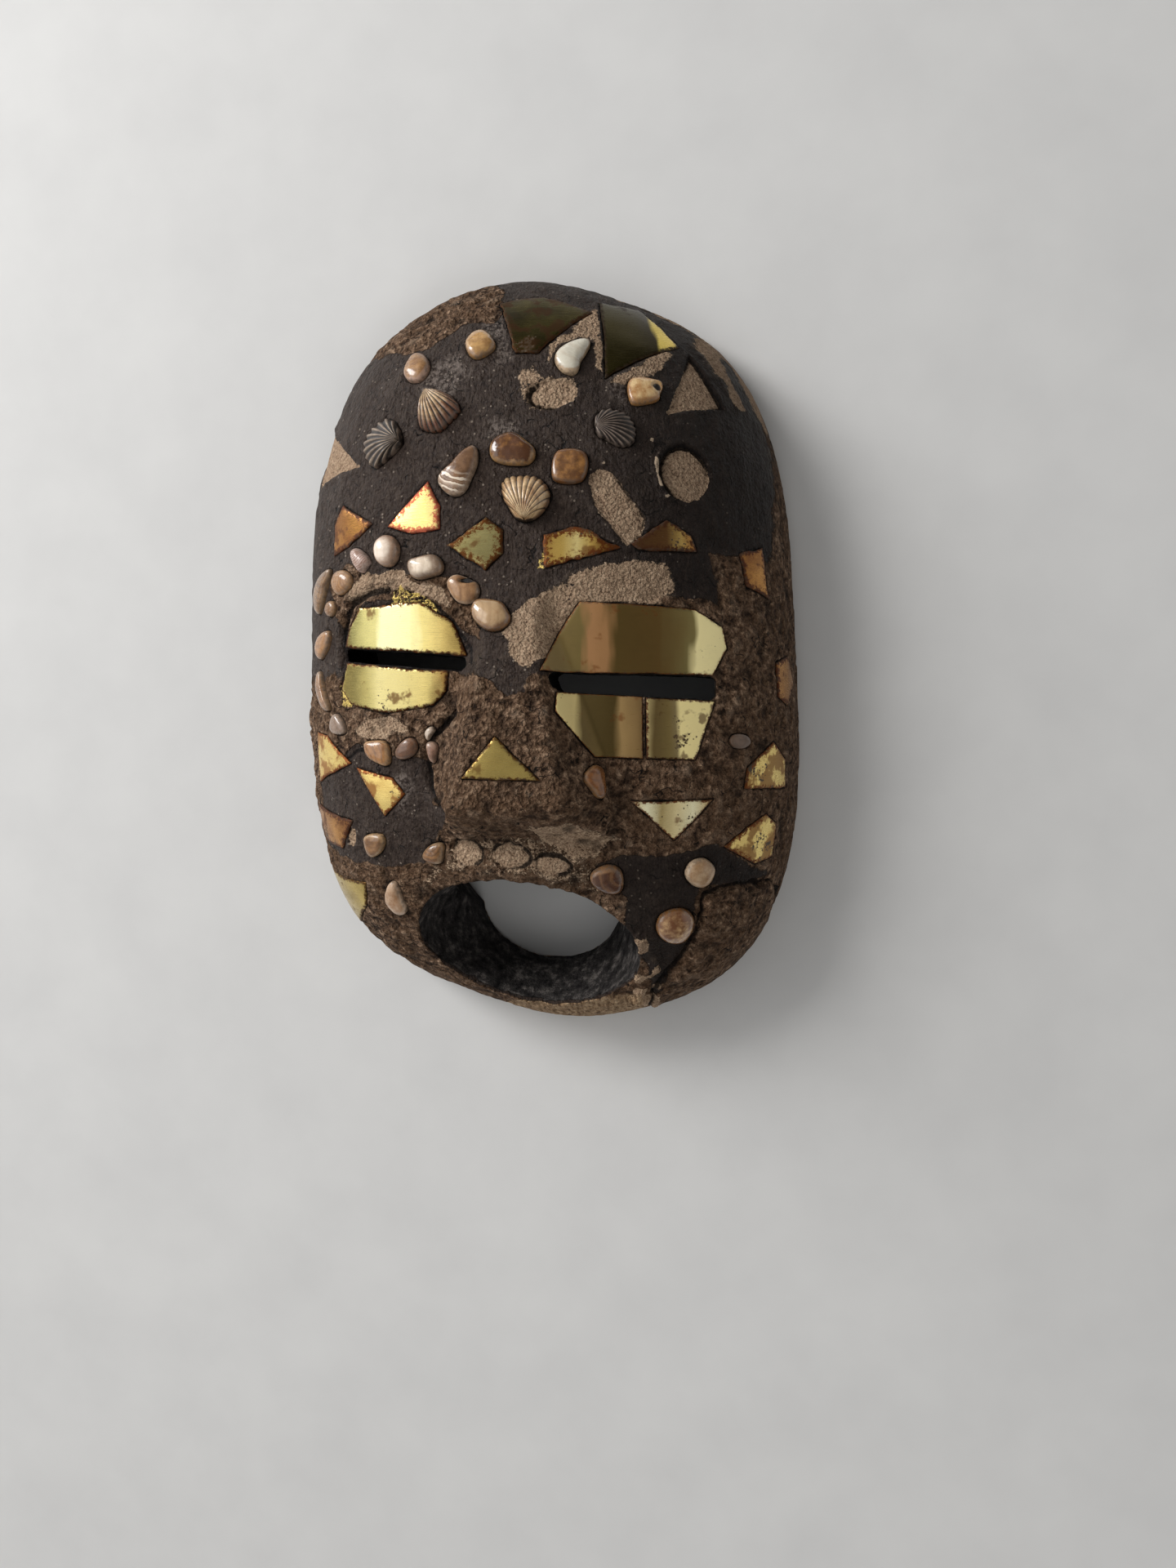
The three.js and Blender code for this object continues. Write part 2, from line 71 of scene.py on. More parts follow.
MOUTH_BACK = dict(x=-4, y=-124, half_width=35, half_height=27)
MOUTH_TILT = math.radians(-8)
MOUTH_FUNNEL = 62.0
SLITS = (
    ((-80, 0), (-80, -6), (-18, -12), (-18, -6)),
    ((16, -13), (19, -21), (83, -25), (83, -15)),
)
NOSE_TOP = 116.7
BRASS_BELOW = 0.7
BRASS_ABOVE = 0.6
BRASS_BED = 0.9
SHELL_BELOW = 2.0
SHELL_EDGE = 0.4

# How finely things are meshed
SKIN_CELL = 1.35
BRASS_CELL = 0.8
INSIDE_RATIO = 0.56
SHELL_SPOKES = 48
SHELL_RINGS = 16
STEPS_A_RIB = 8
STEPS_ALONG_RIB = 26
DOME_SPOKES = 120
DOME_RINGS = 40
HOLLOW_SPOKES = 72
MOUTH_SPOKES = 64
MOUTH_RINGS = 8

# How far the cutters of the openings reach below and above, and half the floor's width in metres
CUTTER_DEPTH = 5
CUTTER_REACH = DOME_HEIGHT + 30
FLOOR_REACH = 3.0


# Smooth random lumps and steps

def smooth_between(value, low, high):
    share = np.clip((np.asarray(value, float) - low) / (high - low), 0, 1)
    return share * share * (3 - 2 * share)


def bell(value, middle, width):
    """1 at the middle, fading smoothly to both sides."""
    return np.exp(-(((value - middle) / width) ** 2))


def cloud(points, size, seed):
    """Smooth random values from -1 to 1 at points, in lumps about size across."""
    side = 64
    lattice = np.random.default_rng(seed).uniform(-1, 1, (side, side, side))
    spot = np.asarray(points, float) / size + 1000
    cell = np.floor(spot).astype(int)
    part = spot - cell
    part = part * part * (3 - 2 * part)
    total = np.zeros(len(spot))
    for corner in product((0, 1), repeat=3):
        weight = np.prod(np.where(corner, part, 1 - part), axis=1)
        index = (cell + corner) % side
        total += weight * lattice[index[:, 0], index[:, 1], index[:, 2]]
    return total


def bumps(points, size, seed, low=0.0):
    """Only the raised half of a cloud."""
    return np.maximum(cloud(points, size, seed), low)


def layered(points, size, seed, layers=3):
    """Lumps on lumps: each layer is half the size and half the height of the one before."""
    return sum(cloud(points, size / 2**k, seed + k) / 2**k for k in range(layers)) / (2 - 0.5 ** (layers - 1))


# The form of the face

def oblong_radius(angle, power):
    return (np.abs(np.cos(angle)) ** power + np.abs(np.sin(angle)) ** power) ** (-1 / power)


def outline_radius(angle):
    unevenness = 1.0
    for order, cosine, sine in OUTLINE_WAVES:
        unevenness = unevenness + cosine * np.cos(order * angle) + sine * np.sin(order * angle)
    return oblong_radius(angle, OUTLINE_POWER) * unevenness


def relief(x, y):
    """Nose and upper lip, as a height over the plain dome."""
    down = np.clip((NOSE["top"] - y) / (NOSE["top"] - NOSE["tip"]), 0, 1)
    half = NOSE["half_top"] + (NOSE["half_base"] - NOSE["half_top"]) * down
    across = 1 - smooth_between(np.abs(x - NOSE["x"]) / half, *NOSE_SIDES)
    bridge = 1 - smooth_between(y, *NOSE_BRIDGE)
    underside = smooth_between(y, NOSE["bottom"], NOSE["tip"])
    nose = NOSE["height"] * (NOSE["root"] + (1 - NOSE["root"]) * down) * across * bridge * underside
    lip_distance = np.hypot((x - LIP["x"]) / LIP["half_length"], (y - LIP["y"]) / LIP["half_width"])
    return nose + LIP["height"] * (1 - smooth_between(lip_distance, *LIP_SIDES))


def outward_share(x, y):
    """0 at the middle of the face, 1 at its outline."""
    across = (x - DOME_MIDDLE[0]) / HALF_WIDTH
    along = (y - DOME_MIDDLE[1]) / HALF_LENGTH
    return np.hypot(across, along) / outline_radius(np.arctan2(along, across))


def face_height(x, y):
    share = np.minimum(outward_share(x, y), 1)
    return DOME_HEIGHT * (1 - share**DOME_POWER) ** (1 / DOME_POWER) + relief(x, y)


def face_level(points):
    """Zero on the face, negative inside it."""
    x, y, z = points.T
    up = np.maximum(z - relief(x, y), 0) / DOME_HEIGHT
    return outward_share(x, y) ** DOME_POWER + up**DOME_POWER - 1


def face_slope(points):
    step = 0.4
    rises = [face_level(points + axis * step) - face_level(points - axis * step) for axis in np.eye(3)]
    return np.stack(rises, axis=1) / (2 * step)


def seat_at(x, y, turn=0.0):
    """Origin and axes lying on the face at (x, y): to the right, towards the crown and outwards."""
    origin = np.array([x, y, float(face_height(np.array(float(x)), np.array(float(y))))])
    outward = face_slope(origin[None])[0]
    outward /= np.linalg.norm(outward)
    crownward = np.array([0.0, 1.0, 0.0]) - outward * outward[1]
    crownward /= np.linalg.norm(crownward)
    rightward = np.cross(crownward, outward)
    turned = math.radians(turn)
    across = rightward * math.cos(turned) + crownward * math.sin(turned)
    along = crownward * math.cos(turned) - rightward * math.sin(turned)
    return origin, np.stack([across, along, outward])


def into_seat(seat, points):
    origin, axes = seat
    return (points - origin) @ axes.T


def out_of_seat(seat, points):
    origin, axes = seat
    return origin + points @ axes


def laid_on(seat, corners):
    """[x, y] corners on the face, as they lie in the seat's plane."""
    corners = np.array(corners, float)
    raised = np.column_stack([corners, face_height(corners[:, 0], corners[:, 1])])
    return into_seat(seat, raised)[:, :2]


def lift_over(seat, flat):
    """Height of the face over a seat's plane at [u, v] places in that plane."""
    lift = np.zeros(len(flat))
    for _ in range(12):
        here = face_level(out_of_seat(seat, np.column_stack([flat, lift])))
        above = face_level(out_of_seat(seat, np.column_stack([flat, lift + 0.1])))
        lift -= np.clip(0.1 * here / (above - here), -4, 4)
    return lift


# Outlines and paths

def path_distance(points, path):
    """How far [x, y] points lie from an open path."""
    nearest = np.full(len(points), np.inf)
    for start, end in zip(np.array(path[:-1], float), np.array(path[1:], float)):
        side = end - start
        share = np.clip((points - start) @ side / (side @ side), 0, 1)
        gap = points - start - share[:, None] * side
        nearest = np.minimum(nearest, np.hypot(gap[:, 0], gap[:, 1]))
    return nearest


def edge_distance(points, outline):
    """How far [x, y] points lie outside a closed outline; negative inside it."""
    corners = np.array(outline, float)
    inside = np.zeros(len(points), bool)
    for start, end in zip(corners, np.roll(corners, -1, axis=0)):
        side = end - start
        crosses = (start[1] > points[:, 1]) != (end[1] > points[:, 1])
        rise = side[1] if side[1] else 1e-9
        inside ^= crosses & (points[:, 0] < side[0] * (points[:, 1] - start[1]) / rise + start[0])
    nearest = path_distance(points, np.vstack([corners, corners[:1]]))
    return np.where(inside, -nearest, nearest)


def counter_clockwise(curve):
    following = np.roll(curve, -1, axis=0)
    area = (curve[:, 0] * following[:, 1] - curve[:, 1] * following[:, 0]).sum() / 2
    return curve[::-1] if area < 0 else curve


# Mesh helpers

def vertex_places(bm):
    return np.array([vert.co for vert in bm.verts])


def put_vertices(bm, places):
    for vert, spot in zip(bm.verts, places):
        vert.co = spot


def only_vertices(items):
    return [item for item in items if isinstance(item, bmesh.types.BMVert)]


def open_edges(bm):
    return [edge for edge in bm.edges if edge.is_boundary]


def turned_form(profile, spokes):
    """A round form about +Z from the bottom of its [radius, height] profile to the top."""
    bm = bmesh.new()
    verts = [bm.verts.new((radius, 0, height)) for radius, height in profile]
    edges = [bm.edges.new(pair) for pair in zip(verts, verts[1:])]
    bmesh.ops.spin(
        bm,
        geom=verts + edges,
        cent=(0, 0, 0),
        axis=(0, 0, 1),
        angle=2 * math.pi,
        steps=spokes,
        use_merge=True,
    )
    bmesh.ops.remove_doubles(bm, verts=bm.verts, dist=1e-5)
    bmesh.ops.recalc_face_normals(bm, faces=bm.faces)
    return bm


def as_object(bm, name):
    mesh = bpy.data.meshes.new(name)
    bm.to_mesh(mesh)
    bm.free()
    made = bpy.data.objects.new(name, mesh)
    bpy.context.scene.collection.objects.link(made)
    return made


def with_modifiers_applied(piece):
    graph = bpy.context.evaluated_depsgraph_get()
    mesh = bpy.data.meshes.new_from_object(piece.evaluated_get(graph))
    piece.modifiers.clear()
    piece.data = mesh
    return mesh


def mesh_points(mesh, field="co"):
    values = np.zeros(len(mesh.vertices) * 3)
    mesh.vertices.foreach_get(field, values)
    return values.reshape(-1, 3)


def set_points(mesh, points):
    mesh.vertices.foreach_set("co", points.ravel())
    mesh.update()


def set_marks(mesh, **marks):
    """Stores one number for each vertex under each name, for the finishes to read."""
    for name, values in marks.items():
        mark = mesh.attributes.new(name, "FLOAT", "POINT")
        mark.data.foreach_set("value", np.asarray(values, np.float32))


def settle(piece, node, finish):
    """Moves a finished piece into the row frame, gives it its finish and puts it in its node's place."""
    piece.data.transform(Matrix.Scale(MM, 4) @ Matrix.Translation(SETTLE))
    piece.data.materials.clear()
    piece.data.materials.append(finish)
    piece.data.shade_smooth()
    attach(piece, BODY)
    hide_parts(node)


# A colour as it is seen, 0 to 255, turned into how much light the surface gives back
def seen(red, green, blue):
    return tuple(((channel / 255 + 0.055) / 1.055) ** 2.4 for channel in (red, green, blue))


# Node trees

class Recipe:
    """A node tree built step by step: every step adds a node and hands back its output."""

    def __init__(self, tree):
        self.tree = tree

    def feed(self, node, values):
        """Links outputs to a node's inputs, or sets an input to a plain value."""
        for key, value in values.items():
            socket = node.inputs[key]
            if isinstance(value, bpy.types.NodeSocket):
                self.tree.links.new(value, socket)
            else:
                socket.default_value = (*value, 1) if socket.type == "RGBA" else value

    def add(self, kind, inputs=None, **settings):
        node = self.tree.nodes.new(kind)
        for key, value in settings.items():
            setattr(node, key, value)
        self.feed(node, inputs or {})
        return node

    def place(self, stretch=(1, 1, 1)):
        """The point on the piece in millimetres, stretched along its axes."""
        here = self.add("ShaderNodeTexCoord").outputs["Object"]
        scale = [1 / MM * amount for amount in stretch]
        return self.add("ShaderNodeMapping", {"Vector": here, "Scale": scale}).outputs["Vector"]

    def mark(self, name):
        return self.add("ShaderNodeAttribute", attribute_name=name).outputs["Fac"]

    def noise(self, vector, scale, detail=3.0, rough=0.55):
        inputs = {"Vector": vector, "Scale": scale, "Detail": detail, "Roughness": rough}
        return self.add("ShaderNodeTexNoise", inputs).outputs["Fac"]

    def bent(self, vector, scale, amount):
        """The same place, pushed about by soft noise, at most by half the amount."""
        noise = {"Vector": vector, "Scale": scale, "Detail": 2.0}
        push = self.add("ShaderNodeTexNoise", noise).outputs["Color"]
        for operation, inputs in (
            ("SUBTRACT", {1: (0.5, 0.5, 0.5)}),
            ("SCALE", {"Scale": amount}),
            ("ADD", {1: vector}),
        ):
            push = self.add("ShaderNodeVectorMath", {0: push, **inputs}, operation=operation).outputs[0]
        return push

    def cells(self, vector, scale, output="Distance", **settings):
        inputs = {"Vector": vector, "Scale": scale}
        return self.add("ShaderNodeTexVoronoi", inputs, **settings).outputs[output]

    def math(self, operation, first, second=0.0):
        return self.add("ShaderNodeMath", {0: first, 1: second}, operation=operation).outputs[0]

    def plus(self, first, second):
        return self.math("ADD", first, second)

    def times(self, first, second):
        return self.math("MULTIPLY", first, second)

    def larger(self, first, second):
        return self.math("MAXIMUM", first, second)

    def weighted(self, *parts, base=0.0):
        """The base plus every value times its weight."""
        total = base
        for value, weight in parts:
            inputs = {0: value, 1: weight, 2: total}
            total = self.add("ShaderNodeMath", inputs, operation="MULTIPLY_ADD").outputs[0]
        return total

    def between(self, value, low, high, to_low=0.0, to_high=1.0):
        inputs = {"Value": value, "From Min": low, "From Max": high, "To Min": to_low, "To Max": to_high}
        return self.add("ShaderNodeMapRange", inputs, interpolation_type="SMOOTHSTEP").outputs["Result"]

    def blend(self, share, first, second):
        """From the first colour to the second."""
        return self.add("ShaderNodeMix", {0: share, 6: first, 7: second}, data_type="RGBA").outputs[2]

    def fade(self, share, first, second):
        """From the first number to the second."""
        return self.add("ShaderNodeMix", {0: share, 2: first, 3: second}).outputs[0]

    def ramp(self, value, *stops):
        node = self.add("ShaderNodeValToRGB", {"Fac": value})
        band = node.color_ramp
        while len(band.elements) < len(stops):
            band.elements.new(1.0)
        for element, (spot, colour) in zip(band.elements, stops):
            element.position = spot
            element.color = (*colour, 1)
        return node.outputs["Color"]

    def tones(self, value, *stops):
        """A ramp of colours as they are seen, 0 to 255."""
        return self.ramp(value, *((spot, seen(*colour)) for spot, colour in stops))

    def red_of(self, colour):
        return self.add("ShaderNodeSeparateColor", {"Color": colour}).outputs["Red"]

    def bump(self, height, strength=1.0):
        """A height in millimetres, felt as relief on the surface."""
        inputs = {"Height": height, "Strength": strength, "Distance": MM}
        return self.add("ShaderNodeBump", inputs).outputs["Normal"]


def new_finish(name):
    material = bpy.data.materials.new(name)
    material.use_nodes = True
    return material, Recipe(material.node_tree), material.node_tree.nodes["Principled BSDF"]


def new_effect(name, colours, numbers, measures):
    """A node group with colour and number inputs, a Colour output and number outputs."""
    group = bpy.data.node_groups.new(name, "ShaderNodeTree")
    for labels, in_out, kind in (
        (colours, "INPUT", "NodeSocketColor"),
        (numbers, "INPUT", "NodeSocketFloat"),
        (("Colour",), "OUTPUT", "NodeSocketColor"),
        (measures, "OUTPUT", "NodeSocketFloat"),
    ):
        for label in labels:
            group.interface.new_socket(name=label, in_out=in_out, socket_type=kind)
    recipe = Recipe(group)
    return group, recipe, recipe.add("NodeGroupInput").outputs, recipe.add("NodeGroupOutput")


# Effect: dried paste and dust caught in hollows and along edges of an inlay
def make_caught_dirt():
    group, recipe, given, end = new_effect(
        "caught dirt", ("Colour",), ("Roughness", "Amount"), ("Roughness",),
    )
    where = recipe.place()
    patch = recipe.noise(where, 0.55, 5.0, 0.65)
    near_edge = recipe.between(recipe.mark("edge"), 1.6, 0.0)
    crumbs = recipe.between(recipe.noise(where, 1.3, 3.0, 0.7), 0.66, 0.72)
    caught = recipe.times(near_edge, recipe.between(patch, 0.42, 0.62))
    caught = recipe.times(recipe.larger(caught, recipe.times(crumbs, 0.35)), given["Amount"])
    dirt = recipe.ramp(patch, (0.3, (0.035, 0.027, 0.022)), (0.7, (0.15, 0.11, 0.08)))
    recipe.feed(end, {
        "Colour": recipe.blend(caught, given["Colour"], dirt),
        "Roughness": recipe.fade(caught, given["Roughness"], 0.9),
    })
    return group


# Effect: hand-rubbed sheet brass with brush lines, tarnish from the edges, stains, and dark pits
def make_tarnished_sheet():
    group, recipe, given, end = new_effect(
        "tarnished sheet",
        ("Brass", "Dull", "Burnt"),
        ("Dulled", "Burnt width", "Spots", "Bare metal"),
        ("Roughness", "Metal", "Height"),
    )
    where = recipe.place()
    fine = recipe.noise(where, 0.6, 5.0, 0.7)
    lines = recipe.noise(recipe.place((0.12, 2.4, 0.4)), 1.0, 4.0, 0.65)
    cloudy = recipe.noise(where, 0.09, 4.0, 0.6)
    dulled = recipe.weighted((cloudy, 0.9), (lines, 0.25), (given["Dulled"], 1.0), base=-1.0)
    dull_share = recipe.between(dulled, -0.05, 0.55)
    colour = recipe.blend(dull_share, given["Brass"], given["Dull"])
    creep = recipe.math("DIVIDE", recipe.mark("edge"), recipe.larger(given["Burnt width"], 0.01))
    creep = recipe.plus(creep, recipe.between(fine, 0.3, 0.7, -0.7, 0.7))
    stained = recipe.weighted((recipe.noise(where, 0.11, 3.0, 0.6), 1.0), (given["Spots"], 0.2))
    burnt = recipe.larger(recipe.between(creep, 1.0, 0.25), recipe.between(stained, 0.7, 0.8, 0.0, 0.75))
    colour = recipe.blend(burnt, colour, given["Burnt"])
    pit = recipe.cells(where, 0.42, feature="F1")
    size = recipe.times(recipe.between(recipe.noise(where, 0.05, 2.0), 0.45, 0.75), given["Spots"])
    pits = recipe.between(recipe.weighted((size, 0.45), (pit, -1.0)), -0.02, 0.08)
    speckle = recipe.between(recipe.times(fine, recipe.plus(size, 0.6)), 0.62, 0.72)
    spoilt = recipe.larger(pits, speckle)
    rough = recipe.between(lines, 0.3, 0.7, 0.17, 0.3)
    recipe.feed(end, {
        "Colour": recipe.blend(spoilt, colour, (0.06, 0.035, 0.015)),
        "Roughness": recipe.weighted((rough, 1.0), (dull_share, 0.1), (recipe.larger(burnt, spoilt), 0.25)),
        "Metal": recipe.weighted((given["Bare metal"], 1.0), (spoilt, -0.8)),
        "Height": recipe.weighted((lines, 0.03), (pits, -0.12)),
    })
    return group


# Effect: colours of a shell: clouds of a second colour, growth lines from the beak, and a rim of its own
def make_shell_colours():
    group, recipe, given, end = new_effect(
        "shell colours",
        ("Body", "Cloud", "Rim", "Line"),
        ("Lines", "Lined", "Late lines", "Cloudy", "Rim width"),
        ("Height",),
    )
    where = recipe.place()
    wander = recipe.noise(where, 0.17, 3.0, 0.6)
    spot = recipe.plus(recipe.mark("growth"), recipe.between(wander, 0.25, 0.75, -0.03, 0.03))
    clouds = recipe.plus(recipe.noise(where, 0.24, 4.0, 0.6), given["Cloudy"])
    colour = recipe.blend(recipe.between(clouds, 0.6, 0.98), given["Body"], given["Cloud"])
    phase = recipe.times(spot, given["Lines"])

    def along_growth(y, z, scale, detail):
        row = recipe.add("ShaderNodeCombineXYZ", {"X": phase, "Y": y, "Z": z}).outputs[0]
        return recipe.noise(row, scale, detail)

    broad = along_growth(0.3, 0.7, 0.8, 2.0)
    fine = along_growth(3.1, 1.7, 3.7, 3.0)
    turns = recipe.weighted((phase, 2 * math.pi), (broad, 4.0))
    waves = recipe.between(recipe.math("SINE", turns), 0.1, 0.75)
    lined = recipe.math("MINIMUM", recipe.plus(waves, recipe.between(fine, 0.5, 0.7, 0.0, 0.4)), 1.0)
    late = recipe.between(recipe.math("SUBTRACT", spot, given["Late lines"]), 0.0, 0.15)
    lined = recipe.times(recipe.times(lined, late), given["Lined"])
    colour = recipe.blend(lined, colour, given["Line"])
    ragged = recipe.plus(recipe.mark("edge"), recipe.between(wander, 0.25, 0.75, -0.7, 0.7))
    rim = recipe.between(recipe.math("DIVIDE", ragged, given["Rim width"]), 1.0, 0.2, 0.0, 0.85)
    colour = recipe.blend(rim, colour, given["Rim"])
    worn = recipe.between(recipe.noise(where, 0.7, 5.0, 0.7), 0.5, 0.75, 0.0, 0.25)
    colour = recipe.blend(worn, colour, given["Cloud"])
    specks = recipe.between(recipe.noise(where, 1.6, 2.0, 0.6), 0.7, 0.74, 0.0, 0.6)
    recipe.feed(end, {
        "Colour": recipe.blend(specks, colour, (0.03, 0.018, 0.01)),
        "Height": recipe.times(fine, 0.12),
    })
    return group


caught_dirt = make_caught_dirt()
tarnished_sheet = make_tarnished_sheet()
shell_colours = make_shell_colours()


# Finish: the paste, from smooth dark pitch through brown grit to pale sand, and bare wood inside
def make_paste():
    material, recipe, shader = new_finish("dark paste with grit")
    where = recipe.place()
    broad = recipe.noise(where, 0.035, 3.0, 0.6)
    middling = recipe.noise(where, 0.16, 4.0, 0.65)
    clumps = recipe.noise(where, 0.42, 4.0, 0.7)
    knobs = recipe.noise(where, 0.36, 1.5, 0.5)
    grains = recipe.noise(where, 0.8, 1.0, 0.5)
    fine = recipe.noise(where, 1.0, 3.0, 0.7)
    strokes = recipe.noise(recipe.place((1.1, 0.3, 0.5)), 1.0, 5.0, 0.75)
    hatch = recipe.noise(recipe.place((0.85, 0.2, 0.4)), 1.0, 2.0, 0.5)
    wood_grain = recipe.noise(recipe.place((0.5, 0.06, 0.25)), 1.0, 4.0, 0.65)
    crumb_pick = recipe.red_of(recipe.cells(where, 0.62, "Color"))
    pale_crumb = recipe.times(
        recipe.between(crumb_pick, 0.94, 0.96), recipe.between(recipe.cells(where, 0.62), 0.42, 0.22),
    )
    plates = recipe.cells(recipe.bent(where, 0.11, 14.0), 0.06, feature="DISTANCE_TO_EDGE")
    cracks = recipe.times(recipe.between(plates, 0.022, 0.004), recipe.between(middling, 0.47, 0.6))

    # What the paste is made of
    pitch = recipe.tones(
        recipe.weighted((strokes, 0.5), (clumps, 0.5)),
        (0.38, (34, 26, 23)), (0.48, (54, 44, 39)), (0.56, (62, 52, 46)), (0.7, (92, 79, 70)),
    )
    dusty = recipe.between(recipe.weighted((broad, 0.5), (middling, 1.0)), 0.8, 0.95, 0.0, 0.12)
    dusty = recipe.larger(dusty, recipe.times(recipe.mark("dust"), recipe.between(clumps, 0.4, 0.6)))
    pitch = recipe.blend(recipe.times(dusty, 0.75), pitch, seen(122, 111, 104))
    pitch = recipe.blend(recipe.times(pale_crumb, 0.5), pitch, seen(166, 152, 138))
    # Grit is darker where its knobs sink and lighter on their tops: partly painted shade and highlight across
    # its relief
    grit = recipe.tones(
        recipe.weighted((clumps, 0.45), (fine, 0.2), (knobs, 0.35)),
        (0.39, (26, 17, 12)), (0.46, (80, 61, 47)), (0.54, (114, 91, 73)), (0.62, (160, 134, 111)),
    )
    grit = recipe.blend(recipe.between(broad, 0.4, 0.62, 0.0, 0.45), grit, seen(84, 62, 44))
    sand = recipe.tones(
        recipe.weighted((fine, 0.6), (clumps, 0.4)),
        (0.36, (90, 70, 54)), (0.45, (144, 120, 99)), (0.55, (166, 142, 118)), (0.66, (198, 173, 148)),
    )
    wood = recipe.tones(
        recipe.weighted((middling, 0.6), (wood_grain, 0.4)),
        (0.38, (22, 20, 21)), (0.52, (62, 59, 58)), (0.64, (116, 110, 106)),
    )
    bare = recipe.tones(wood_grain, (0.35, (96, 74, 55)), (0.5, (150, 124, 96)), (0.66, (186, 160, 130)))

    # Where each of them shows
    uneven = recipe.weighted((middling, 1.0), (clumps, 0.6), base=-0.8)

    def share_of(name, wander, low, high, most=1.0):
        ragged = recipe.weighted((recipe.mark(name), 1.0), (uneven, wander))
        return recipe.between(ragged, low, high, 0.0, most)

    grit_share = share_of("grit", 1.0, 0.38, 0.56)
    patchy = recipe.weighted((recipe.mark("sand"), 1.0), (uneven, 1.0), (fine, 0.8), base=-0.4)
    sand_share = recipe.between(patchy, 0.42, 0.58)
    wood_share = share_of("wood", 0.5, 0.4, 0.6)
    tar_and_shade_share = share_of("tar_and_shade", 1.0, 0.3, 0.75, 0.92)
    bare_share = share_of("bare", 1.0, 0.4, 0.6)
    bone_share = share_of("bone", 0.6, 0.5, 0.62)
    flecks = recipe.between(recipe.weighted((clumps, 1.0), (fine, 0.6)), 0.76, 0.82)
    gilt_share = recipe.times(recipe.between(recipe.mark("gilt"), 0.3, 0.6), flecks)
    shade = recipe.times(recipe.mark("shade"), recipe.between(middling, 0.35, 0.65, 0.8, 1.0))
    shade = recipe.times(shade, recipe.between(sand_share, 0.0, 1.0, 1.0, 0.3))

    colour = recipe.blend(cracks, recipe.blend(grit_share, pitch, grit), seen(14, 11, 10))
    colour = recipe.blend(sand_share, colour, sand)
    colour = recipe.blend(shade, colour, seen(19, 13, 10))
    # Painted shade and highlight: darker where the lumps of the relief sink, lighter on their crests
    colour = recipe.blend(recipe.between(recipe.mark("high"), -0.1, -1.8, 0.0, 0.7), colour, seen(16, 11, 9))
    painted_crest_highlight = recipe.blend(0.5, colour, seen(190, 168, 146))
    colour = recipe.blend(recipe.between(recipe.mark("high"), 0.5, 2.4, 0.0, 0.35), colour, painted_crest_highlight)
    # Painted shade with some tar: near-black in creases, in the gaps of emptied beds and round the edges of
    # inlays
    colour = recipe.blend(tar_and_shade_share, colour, seen(17, 13, 12))
    colour = recipe.blend(wood_share, colour, wood)
    colour = recipe.blend(bare_share, colour, bare)
    # Painted shade: the inside of the hollow, away from the mouth, darkened almost to black
    colour = recipe.blend(recipe.mark("hollow_shade"), colour, seen(3, 3, 3))
    colour = recipe.blend(bone_share, colour, seen(158, 140, 120))
    colour = recipe.blend(gilt_share, colour, seen(246, 216, 128))

    loose = recipe.larger(grit_share, sand_share)
    rough = recipe.between(strokes, 0.3, 0.7, 0.5, 0.68)
    rough = recipe.fade(gilt_share, recipe.fade(recipe.larger(loose, wood_share), rough, 0.94), 0.38)
    pitted = recipe.between(recipe.noise(where, 0.4, 2.0, 0.5), 0.36, 0.44, -0.3, 0.0)
    knob_height = recipe.between(sand_share, 0.0, 1.0, 4.2, 1.8)
    loose_height = recipe.weighted((knobs, knob_height), (grains, 2.0), (clumps, 1.2))
    smooth_height = recipe.weighted(
        (hatch, 0.9), (knobs, 1.5), (grains, 0.7), (strokes, 0.7),
        (pitted, 1.0), (pale_crumb, 0.4), (cracks, -0.5),
    )
    height = recipe.fade(loose, smooth_height, loose_height)
    height = recipe.fade(wood_share, height, recipe.weighted((wood_grain, 0.8), (clumps, 1.6)))
    recipe.feed(shader, {
        "Base Color": colour,
        "Metallic": recipe.times(gilt_share, 0.8),
        "Roughness": rough,
        "Normal": recipe.bump(height),
        "Specular IOR Level": 0.2,
    })
    return material


